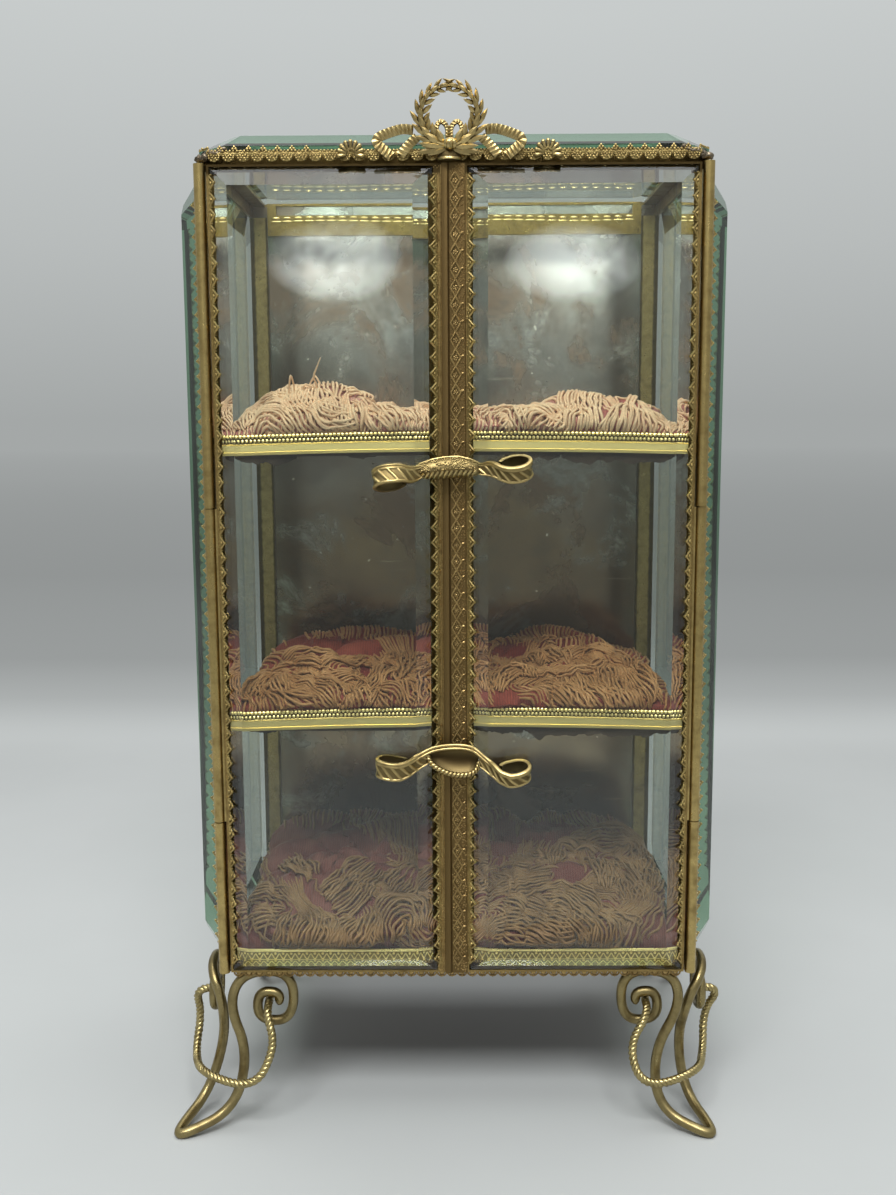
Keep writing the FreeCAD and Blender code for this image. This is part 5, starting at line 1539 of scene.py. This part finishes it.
def pad_point(prefix, u, v):
    """Points of a pad's upper side. u is -1 at the left and 1 at the right, v 0 at the back, 1 in front."""
    low, high = span(f"{prefix}_cushion")
    middle, half = (low + high) / 2, (high - low) / 2
    turn = pad_turn(prefix, v)[0]
    x = middle[0] + PAD_SHARE * half[0] * u
    y = np.sign(np.cos(turn)) * np.abs(np.cos(turn)) ** SQUARE
    y = middle[1] + PAD_SHARE * half[1] * y * (1 - 0.05 * np.abs(u) ** 6)
    tall = PAD_HEIGHT[prefix] + 0 * x
    for mid_x, mid_y, wide, deep, rise in PAD_LUMPS[prefix]:
        tall = tall + rise * np.exp(-((x - mid_x) / wide) ** 2 - ((y - mid_y) / deep) ** 2)
    for x_1, y_1, x_2, y_2, wide, rise in PAD_RIDGES[prefix]:
        run = np.array((x_2 - x_1, y_2 - y_1))
        share = np.clip(((x - x_1) * run[0] + (y - y_1) * run[1]) / run.dot(run), 0, 1)
        away = np.hypot(x - x_1 - share * run[0], y - y_1 - share * run[1])
        tall = tall + rise * np.exp(-(away / wide) ** 2)
    ends = np.clip(1 - np.abs(u) ** 9, 0.06, 1) ** 0.5
    z = low[2] + 0.2 + tall * ends * np.abs(np.sin(turn)) ** SQUARE
    return np.stack([x, y, z], -1)


def pad_mesh(prefix):
    u, v = np.meshgrid(np.linspace(-1, 1, 61), np.linspace(0, 1, 41), indexing="ij")
    return loft(pad_point(prefix, u, v))


print(len(pad_mesh("upper")[0]), "points on a pad")

# %% pads in silk


def silk(name, pale, deep):
    """Rose silk: a fine weave, faded in clouds, with a soft sheen."""
    material, tree, shader = new_material(name, Sheen_Weight=0.04, Sheen_Roughness=0.4,
                                          Specular_IOR_Level=0.2)
    place = own_place(tree)
    faded = ramp(tree, cloud(tree, 70.0, 5.0, 0.6, place), (0.36, 0.0), (0.66, 1.0))
    yarn = add(tree, "ShaderNodeTexWave", {"Scale": WEAVE, "Distortion": 1.5, "Detail": 2.0},
               bands_direction="X")
    tree.links.new(place, yarn.inputs["Vector"])
    tone = mix(tree, faded, deep, pale)
    shade = ramp(tree, yarn.outputs["Fac"], (0.0, 0.72), (1.0, 1.0))
    rough = ramp(tree, faded, (0.0, 0.45), (1.0, 0.7))
    paint(tree, shader, mix(tree, 1.0, tone, shade, "MULTIPLY"), rough)
    bump(tree, shader, yarn.outputs["Fac"], 0.4, 0.12 * MM)
    return material


WEAVE = 420.0           # waves per metre
SILKS = {"upper": silk("faded_silk", (0.60, 0.29, 0.23), (0.42, 0.11, 0.095)),
         "lower": silk("rose_silk", (0.35, 0.075, 0.05), (0.19, 0.028, 0.024)),
         "base": silk("dusty_silk", (0.29, 0.115, 0.095), (0.17, 0.042, 0.04))}
for prefix in PAD_HEIGHT:
    pad = piece(f"{prefix}_cushion_pad", pad_mesh(prefix), "frayed_silk", "case", f"{prefix}_cushion",
                finish=SILKS[prefix], crease=80)

# %% [markdown]
# ## Silk covers
# The cover is a sheet of silk that was stretched over the pad and has gone slack, so it lies in folds.
# Folds drawn by hand tend to repeat. A short cloth simulation makes them: the sheet starts just above
# the pad, held along its rim, grows by 13 to 20 per cent and buckles against the pad as it settles. The
# simulation runs at ten times the size, where the solver is steadier, and its result is kept as a mesh.

# %% settling the silk
SIM_SCALE, SIM_FRAMES = 10.0, 36
SLACK = {"upper": 0.13, "lower": 0.17, "base": 0.20}
COVER_WIDE, COVER_LONG = 0.99, (0.03, 0.975)        # shares of the pad: to each side, and from back to front


def grid_faces(columns, rows):
    return [(i * rows + j, i * rows + j + 1, (i + 1) * rows + j + 1, (i + 1) * rows + j)
            for i in range(columns - 1) for j in range(rows - 1)]


def grid_normals(grid):
    normals = np.cross(np.gradient(grid, axis=1), np.gradient(grid, axis=0))
    return normals / np.maximum(np.linalg.norm(normals, axis=2, keepdims=True), 1e-9)


def bare_object(name, points, faces):
    data = bpy.data.meshes.new(name)
    data.from_pydata((points * MM * SIM_SCALE).tolist(), [], faces)
    return put_in_scene(name, data)


def settled(grid, pad, slack):
    """The grid of cloth after it has grown by the slack and settled on the pad."""
    columns, rows = grid.shape[:2]
    cloth = bare_object("settling_cloth", grid.reshape(-1, 3), grid_faces(columns, rows))
    under = bare_object("settling_pad", *pad)
    rim = [i * rows + j for i in range(columns) for j in range(rows)
           if j in (0, rows - 1) or i in (0, columns - 1)]
    cloth.vertex_groups.new(name="rim").add(rim, 1.0, "REPLACE")
    settings = cloth.modifiers.new("Cloth", "CLOTH").settings
    settings.quality, settings.mass, settings.air_damping = 6, 0.2, 2.0
    settings.tension_stiffness = settings.compression_stiffness = 20
    settings.shear_stiffness, settings.bending_stiffness = 8, 0.15
    settings.vertex_group_mass, settings.shrink_min = "rim", -slack
    contact = cloth.modifiers["Cloth"].collision_settings
    contact.distance_min, contact.collision_quality = 0.004, 3
    under.modifiers.new("Collision", "COLLISION")
    under.collision.thickness_outer = 0.003
    scene = bpy.context.scene
    for step in range(1, SIM_FRAMES + 1):
        scene.frame_set(step)
    done = cloth.evaluated_get(bpy.context.evaluated_depsgraph_get()).data
    points = np.array([vertex.co for vertex in done.vertices]) / (MM * SIM_SCALE)
    for item in (cloth, under):
        bpy.data.objects.remove(item)
    scene.frame_set(1)
    return points.reshape(columns, rows, 3)


print(f"silk settles for {SIM_FRAMES} frames")

# %% three covers
COVERS = {}
for prefix in PAD_HEIGHT:
    u, v = np.meshgrid(np.linspace(-COVER_WIDE, COVER_WIDE, 86), np.linspace(*COVER_LONG, 60), indexing="ij")
    start = pad_point(prefix, u, v)
    ripple = [noise.noise((a * 9, b * 7, len(prefix))) for a, b in zip(u.ravel(), v.ravel())]
    start = start + grid_normals(start) * (1.0 + 0.5 * np.reshape(ripple, u.shape))[..., None]
    COVERS[prefix] = settled(start, pad_mesh(prefix), SLACK[prefix])
    move = np.linalg.norm(COVERS[prefix] - start, axis=2)
    print(f"{prefix} silk moved {move.mean():.2f} mm, at most {move.max():.2f} mm")

# %% sheets from the settled silk
SILK_THICK = 0.25
RAIL_OVER = 2.0         # silk this high above a rail may hang over it


def behind_rail(prefix, points, gap):
    """Move points that lie lower than the rail's top back by a gap behind it."""
    rail = span("sill_rail" if prefix == "base" else f"{prefix}_shelf_rail")[1]
    kept = np.maximum(points[..., 1], rail[1] + gap)
    points[..., 1] = np.where(points[..., 2] < rail[2] + RAIL_OVER, kept, points[..., 1])


def cloth_size(prefix):
    """Width and length of the part of a pad that its cover lies on."""
    low, high = span(f"{prefix}_cushion")
    share = COVER_LONG[1] - COVER_LONG[0]
    return PAD_SHARE * COVER_WIDE * (high[0] - low[0]), share * pad_turn(prefix, 0)[1]


for prefix, grid in COVERS.items():
    behind_rail(prefix, grid, 0.8)
    sheet = slab(grid, grid - grid_normals(grid) * SILK_THICK)
    cover = piece(f"{prefix}_silk_cover", sheet, "frayed_silk", "case", finish=SILKS[prefix], crease=80)
    wide, long = (side * (1 + SLACK[prefix]) for side in cloth_size(prefix))
    COVERS[prefix] = grid, cover, (wide, long)
    print(f"{prefix} silk was cut {wide:.0f} by {long:.0f} mm")

# %% [markdown]
# ## Frayed threads
# The silk's cross threads have rotted, and the pale long threads lie loose on the rose ground in
# waves, whorls and fans. Hair would be the usual tool, but these threads are few and thick, and each
# is seen. So each is a thin tube. The combed threads start as straight lines on the flat cloth, and a
# few twirls turn them about given middles; a twirl never lets lines cross. Over them lie skeins
# along guide lines, fans gathered at one end, and single loose loops. Their lines are given where the
# photograph shows them, and the camera tells which place of the silk is seen there. All are laid on the
# flat cloth and then on the folds of the settled silk.

# %% twirls and bare patches
THREAD, THREAD_PITCH, SKEIN_PITCH = 0.42, 1.15, 0.98
THREAD_STEP = 0.7
NEAR_PIXELS = 2.5       # points of the silk this near in the picture count as one place
TWIRLS = {          # middle across and down the cloth, reach, quarter turns
    "upper": (
        (-34, 52, 11, 2.2), (-50, 62, 8, -0.9), (-16, 60, 10, -0.9), (8, 56, 9, 0.8), (27, 60, 9, -1.0),
        (44, 54, 10, 1.2), (57, 64, 8, -0.9)),
    "lower": (
        (-52, 60, 9, 1.3), (-36, 70, 9, -1.2), (-24, 46, 9, 1.4), (-8, 62, 9, -1.0), (10, 58, 9, 1.1),
        (28, 50, 9, -1.3), (40, 66, 9, 1.3), (56, 56, 9, -1.2), (20, 76, 7, -0.9), (-46, 34, 8, 0.8)),
    "base": (
        (-50, 88, 10, 1.4), (-34, 72, 10, -1.3), (-14, 88, 10, 1.6), (-22, 58, 10, 1.0), (6, 74, 10, -1.3),
        (22, 90, 10, 1.4), (30, 58, 11, -1.4), (46, 78, 10, 1.4), (56, 96, 8, -1.0), (48, 46, 10, 1.1)),
}
BARE = {            # middle and half-widths in the photograph: places where no thread is left
    "upper": ((332, 401, 17, 9), (340, 391, 26, 9), (591, 409, 13, 6)),
    "lower": (
        (330, 646, 52, 8), (369, 673, 8, 11), (393, 682, 5, 6), (506, 699, 12, 11), (510, 650, 16, 6),
        (655, 708, 8, 8)),
    "base": (
        (328, 852, 60, 30), (354, 905, 36, 9), (546, 829, 28, 8), (571, 871, 15, 13), (556, 886, 15, 5),
        (505, 836, 13, 18)),
}
print({prefix: len(rows) for prefix, rows in TWIRLS.items()}, "twirls")

# %% skeins, fans and loose threads
SKEINS = {          # number of threads, then points of the guide line in the photograph
    "upper": (
        (12, ((250, 428), (250, 415), (261, 402), (275, 398), (288, 402), (298, 411), (313, 421),
              (333, 428), (359, 434))),
        (9, ((255, 430), (263, 421), (275, 418), (283, 424), (293, 435))),
        (9, ((314, 385), (301, 391), (296, 399), (303, 410), (316, 420), (336, 427), (356, 434))),
        (5, ((338, 405), (319, 405), (314, 411), (323, 420), (341, 422), (358, 415))),
        (6, ((353, 405), (359, 412), (361, 434))), (8, ((366, 405), (372, 415), (384, 423), (397, 433))),
        (8, ((376, 406), (391, 411), (402, 420), (407, 433))),
        (4, ((341, 385), (354, 388), (364, 396), (367, 404))),
        (8, ((412, 412), (420, 409), (427, 416), (429, 433))),
        (9, ((493, 414), (505, 413), (515, 419), (524, 430))),
        (9, ((515, 418), (530, 411), (546, 409), (566, 412))), (8, ((497, 430), (505, 422), (516, 421))),
        (6, ((525, 431), (526, 425), (535, 420), (545, 418))),
        (8, ((546, 432), (553, 425), (566, 420), (579, 421), (593, 434))),
        (8, ((462, 414), (472, 418), (478, 429)))),
    "lower": (
        (9, ((281, 674), (281, 687), (287, 696), (300, 699), (318, 697))),
        (12, ((286, 671), (300, 677), (318, 682), (336, 690), (346, 703))),
        (6, ((312, 677), (330, 676), (350, 674), (362, 671))),
        (10, ((249, 697), (255, 685), (266, 676), (278, 673))),
        (10, ((281, 661), (306, 655), (330, 655), (355, 659), (364, 655))),
        (8, ((365, 655), (379, 660), (379, 676), (371, 686), (364, 697))),
        (9, ((401, 679), (416, 690), (422, 701))), (9, ((350, 690), (356, 697), (360, 704))),
        (8, ((380, 688), (392, 692), (400, 703))),
        (9, ((495, 688), (498, 674), (510, 667), (523, 669), (526, 677))),
        (10, ((543, 681), (553, 690), (566, 699), (584, 708))),
        (10, ((566, 676), (573, 688), (586, 699), (603, 708))),
        (10, ((586, 674), (589, 685), (604, 695), (619, 703), (624, 711))),
        (11, ((609, 661), (614, 676), (616, 688), (627, 700), (636, 711))),
        (11, ((626, 666), (636, 680), (644, 693), (651, 708))),
        (9, ((536, 666), (531, 656), (543, 649), (559, 651), (566, 660))),
        (7, ((540, 642), (546, 637), (559, 640))),
        (9, ((568, 651), (586, 648), (606, 651), (626, 658), (637, 665))),
        (4, ((530, 671), (546, 668), (563, 672), (583, 670), (599, 666), (608, 658)))),
    "base": (
        (14, ((376, 864), (362, 876), (350, 887), (333, 898))), (12, ((410, 873), (401, 883), (391, 892))),
        (12, ((387, 938), (385, 922), (391, 908), (404, 902), (416, 908), (417, 930))),
        (12, ((364, 907), (367, 919), (358, 933), (347, 945))), (10, ((352, 921), (342, 930), (341, 945))),
        (9, ((318, 921), (327, 922), (326, 935), (321, 945))),
        (8, ((306, 907), (312, 916), (306, 930), (296, 945))), (6, ((296, 909), (292, 922), (286, 945))),
        (6, ((238, 889), (257, 894), (286, 893))), (8, ((290, 855), (296, 866), (310, 875))),
        (7, ((245, 915), (262, 910), (282, 912))), (10, ((498, 891), (515, 881), (535, 878), (553, 871))),
        (9, ((500, 866), (515, 873), (531, 873))),
        (13, ((541, 895), (559, 893), (579, 904), (597, 919), (601, 934), (593, 946))),
        (12, ((500, 900), (515, 908), (531, 919), (553, 923), (576, 923))),
        (10, ((498, 926), (526, 923), (546, 931), (563, 943))),
        (7, ((553, 861), (556, 848), (573, 841), (603, 846))),
        (8, ((576, 838), (603, 830), (634, 836), (649, 850), (644, 880), (632, 899))),
        (10, ((593, 856), (606, 870), (609, 886))), (10, ((609, 856), (619, 866), (632, 883), (632, 898))),
        (8, ((626, 855), (639, 870), (639, 880)))),
}
FANS = {            # the gathered end in the photograph, the other end's spread and row, number of threads
    "upper": ((628, 405, 598, 670, 435, 26),),
    "lower": ((401, 678, 382, 416, 650, 15),),
    "base": ((576, 900, 560, 640, 925, 18),),
}
LOOSE = {           # both ends in the photograph, how high the thread stands off, whether its end is free
    "upper": (
        (288, 398, 296, 394, 7.0, False), (310, 386, 322, 383, 3.0, False), (318, 385, 326, 384, 9.0, True),
        (376, 408, 384, 430, 2.5, False), (300, 392, 318, 384, 3.0, False), (353, 404, 361, 430, 2.0, False)),
    "lower": (
        (350, 672, 372, 688, 2.0, False), (316, 662, 345, 676, 2.0, False), (590, 650, 600, 645, 3.0, True),
        (372, 668, 362, 698, 1.5, False)),
    "base": (
        (274, 900, 272, 944, 1.6, False), (262, 910, 271, 942, 1.2, False), (288, 912, 276, 940, 2.0, False),
        (300, 908, 290, 944, 2.0, False), (255, 914, 262, 940, 1.5, False), (633, 850, 640, 895, 2.0, False)),
}
print({prefix: len(rows) for prefix, rows in SKEINS.items()}, "skeins")

# %% from the photograph to the cloth


def in_picture(points):
    """Where points in millimetres fall in the photograph, in its pixels."""
    local = (np.asarray(points) - EYE) @ np.array(camera.matrix_world.to_3x3())
    return np.stack([PHOTO_WIDE / 2 + FOCAL * local[..., 0] / -local[..., 2],
                     PHOTO_HIGH / 2 - FOCAL * local[..., 1] / -local[..., 2]], -1)


def drawn(prefix, points):
    """Points of the flat cloth whose places on the settled silk are seen at points of the photograph."""
    grid = COVERS[prefix][0]
    seen, depth = in_picture(grid), np.linalg.norm(grid - EYE, axis=2)
    wide, long = cloth_size(prefix)
    places = []
    for point in points:
        away = np.linalg.norm(seen - point, axis=2)
        near = np.where(away < away.min() + NEAR_PIXELS, depth, np.inf)
        i, j = np.unravel_index(np.argmin(near), depth.shape)
        places.append(((i / (grid.shape[0] - 1) - 0.5) * wide, j / (grid.shape[1] - 1) * long))
    return np.array(places)


print("the wreath is seen at", in_picture(crest_point(0, 0)).round())

# %% from the flat cloth to the folds


def twirled(points, twirls):
    """Points of the flat cloth, turned about each twirl's middle."""
    for across, down, reach, quarters in twirls:
        shift = points - (across, down)
        angle = quarters * math.pi / 2 * np.exp(-(shift ** 2).sum(1) / reach ** 2)
        cosine, sine = np.cos(angle), np.sin(angle)
        points = np.stack([cosine * shift[:, 0] - sine * shift[:, 1] + across,
                           sine * shift[:, 0] + cosine * shift[:, 1] + down], 1)
    return points


def on_cover(prefix, points, lift):
    """Places on the settled silk for points of the flat cloth, raised by the lift."""
    grid = COVERS[prefix][0]
    wide, long = cloth_size(prefix)
    columns, rows = grid.shape[:2]
    i = np.clip((points[:, 0] / wide + 0.5) * (columns - 1), 0, columns - 1.001)
    j = np.clip(points[:, 1] / long * (rows - 1), 0, rows - 1.001)
    a, b = i.astype(int), j.astype(int)
    s, t = (i - a)[:, None], (j - b)[:, None]
    normals = grid_normals(grid)

    def blend(field):
        return ((1 - s) * (1 - t) * field[a, b] + s * (1 - t) * field[a + 1, b]
                + (1 - s) * t * field[a, b + 1] + s * t * field[a + 1, b + 1])

    places = blend(grid) + blend(normals) * np.asarray(lift)[:, None]
    behind_rail(prefix, places, 0.3)
    return places


def cut_away(prefix, points, fray):
    """True where a thread is left out, with an uneven edge to each bare patch."""
    seen = in_picture(points)
    gone = np.zeros(len(points), bool)
    for across, down, wide, deep in BARE[prefix]:
        gone |= ((seen[:, 0] - across) / wide) ** 2 + ((seen[:, 1] - down) / deep) ** 2 < 1 + fray
    return gone


print("points of the flat cloth can be laid on the silk")

# %% single threads
SHORTEST_RUN = 8        # points


def tapered(radius, count):
    """Radii along a thread that is thinner at both ends."""
    places = np.arange(count)
    return radius * np.clip(np.minimum(places, places[::-1]) / 3 + 0.4, 0, 1)


def thread_runs(prefix, flat, lift, radius, fray):
    """Tubes along one thread, broken where the silk is bare."""
    path = on_cover(prefix, flat, lift)
    kept = ~cut_away(prefix, path, fray)
    edges = np.flatnonzero(np.diff(np.r_[0, kept.astype(int), 0]))
    runs = []
    for first, last in edges.reshape(-1, 2):
        if last - first >= SHORTEST_RUN:
            runs.append(tube(path[first:last], tapered(radius, last - first), 5))
    return runs


def laid_thread(prefix, flat, lift, radius):
    """One whole thread along points of the cloth."""
    return tube(on_cover(prefix, flat, lift), tapered(radius, len(flat)), 5)


print(f"a thread tapers to {tapered(THREAD, 9).min():.2f} mm")

# %% combed threads


def combed_threads(prefix, seed):
    """Threads that still lie where they were woven, in waves, broken where the silk is bare."""
    chance = random.Random(seed)
    low, high = span(f"{prefix}_cushion")
    half = 0.48 * (high[0] - low[0])
    down = np.arange(1.0, cloth_size(prefix)[1] - 0.5, 0.8)
    meshes = []
    for start in np.arange(-half, half, THREAD_PITCH):
        wander = [3.0 * noise.noise((start * 0.05, place * 0.06, seed))
                  + 0.5 * noise.noise((start * 0.5, place * 0.09, seed)) for place in down]
        flat = np.stack([start + chance.uniform(-0.2, 0.2) + np.array(wander), down], 1)
        risen = [max(0, noise.noise((start * 0.4, place * 0.12, seed + 9))) for place in down]
        lift = 0.22 + 0.35 * np.array(risen)
        radius, fray = THREAD * chance.uniform(0.8, 1.15), chance.uniform(-0.35, 0.35)
        meshes += thread_runs(prefix, twirled(flat, TWIRLS[prefix]), lift, radius, fray)
    return merge(*meshes)


print("threads can be combed")

# %% gathered and loose threads


def skein(prefix, count, points, chance):
    """A band of threads side by side along a guide line. It puffs up along its middle."""
    guide = spaced(smooth(drawn(prefix, points), 4), THREAD_STEP)
    ahead = headings(guide)
    side = np.stack([-ahead[:, 1], ahead[:, 0]], 1)
    share = np.linspace(0, 1, len(guide))
    gather = np.interp(share, (0, 0.2, 0.8, 1), (0.75, 1.0, 1.0, 0.8)) * count * SKEIN_PITCH / 2
    meshes = []
    for place in (np.arange(count) + 0.5) / count * 2 - 1:
        own = chance.uniform(0, 99)
        wander = np.array([0.35 * noise.noise((t * 4, own, 0)) for t in share])
        flat = guide + side * (place * gather + wander)[:, None]
        puff = 1.3 * math.sqrt(1 - 0.9 * place * place) * np.sin(math.pi * share) ** 0.4
        lift = 0.55 + puff + chance.uniform(0, 0.25)
        first, last = chance.randrange(0, 3), len(flat) - chance.randrange(0, 3)
        radius = THREAD * chance.uniform(0.85, 1.12)
        meshes.append(laid_thread(prefix, flat[first:last], lift[first:last], radius))
    return merge(*meshes)


def fan(prefix, across, down, low, high, foot, count, chance):
    """Threads that spread from one gathered place."""
    meshes = []
    for end in np.linspace(low, high, count):
        reach = end - across
        line = [(across + 0.1 * reach, down), (across + 0.62 * reach, down + 0.35 * (foot - down)),
                (end, down + 0.7 * (foot - down)), (end + chance.uniform(-1, 1), foot)]
        flat = spaced(smooth(drawn(prefix, line), 3), THREAD_STEP)
        bulge = 1 - 0.5 * abs(2 * (end - low) / (high - low) - 1)
        rise = 1.2 * bulge * np.sin(math.pi * np.linspace(0.1, 0.9, len(flat)))
        lift = 0.6 + rise + chance.uniform(0, 0.2)
        meshes.append(laid_thread(prefix, flat, lift, THREAD * chance.uniform(0.95, 1.1)))
    return merge(*meshes)


def loose_thread(prefix, across, down, far, far_down, height, free, chance):
    """A single thread that stands off the silk in a loop, or with one end free."""
    (across, down), (far, far_down) = drawn(prefix, ((across, down), (far, far_down)))
    middle = ((across + far) / 2 + chance.uniform(-2, 2), (down + far_down) / 2 + chance.uniform(-2, 2))
    flat = spaced(smooth([(across, down), middle, (far, far_down)], 3), 0.6)
    share = np.linspace(0, 1, len(flat))
    lift = 0.6 + height * (share ** 1.6 if free else np.sin(math.pi * share))
    return laid_thread(prefix, flat, lift, THREAD * 0.7)


print("threads can be gathered, spread and let loose")

# %% threads on the silk


def frayed_threads(prefix, seed):
    chance = random.Random(seed)
    parts = [combed_threads(prefix, seed)]
    parts += [skein(prefix, count, points, chance) for count, points in SKEINS[prefix]]
    parts += [fan(prefix, *row, chance) for row in FANS[prefix]]
    parts += [loose_thread(prefix, *row, chance) for row in LOOSE[prefix]]
    return merge(*parts)


def thread_finish(name, pale, deep):
    """Loose floss: pale, darker in patches and finely mottled, with a soft sheen."""
    material, tree, shader = new_material(name, Sheen_Weight=0.04, Sheen_Roughness=0.35,
                                          Specular_IOR_Level=0.25)
    soil = ramp(tree, cloud(tree, 110.0, 5.0, 0.65), (0.38, 0.0), (0.68, 1.0))
    strand = ramp(tree, cloud(tree, 1500.0, 2.0, 0.6), (0.3, 0.75), (0.7, 1.0))
    tone = mix(tree, soil, pale, deep)
    rough = ramp(tree, soil, (0.0, 0.42), (1.0, 0.65))
    paint(tree, shader, mix(tree, 1.0, tone, strand, "MULTIPLY"), rough)
    bump(tree, shader, strand, 0.3, 0.08 * MM)
    return material


# the upper shelf's floss is paler and the lower ones' darker, partly as painted light and shade for how much
# light reaches each shelf
THREADS = {"upper": thread_finish("pale_floss", (0.98, 0.67, 0.43), (0.85, 0.52, 0.32)),
           "lower": thread_finish("soiled_floss", (0.60, 0.30, 0.13), (0.36, 0.155, 0.057)),
           "base": thread_finish("brown_floss", (0.39, 0.222, 0.11), (0.23, 0.12, 0.057))}
for seed, prefix in enumerate(PAD_HEIGHT):
    threads = piece(f"{prefix}_silk_threads", frayed_threads(prefix, seed + 21), "frayed_silk", "case",
                    finish=THREADS[prefix], crease=80)
    _, cover, (wide, long) = COVERS[prefix]

# %% [markdown]
# ## Finish
# The picture keeps plain colours.

# %% finish
bpy.context.scene.view_settings.view_transform = "Standard"
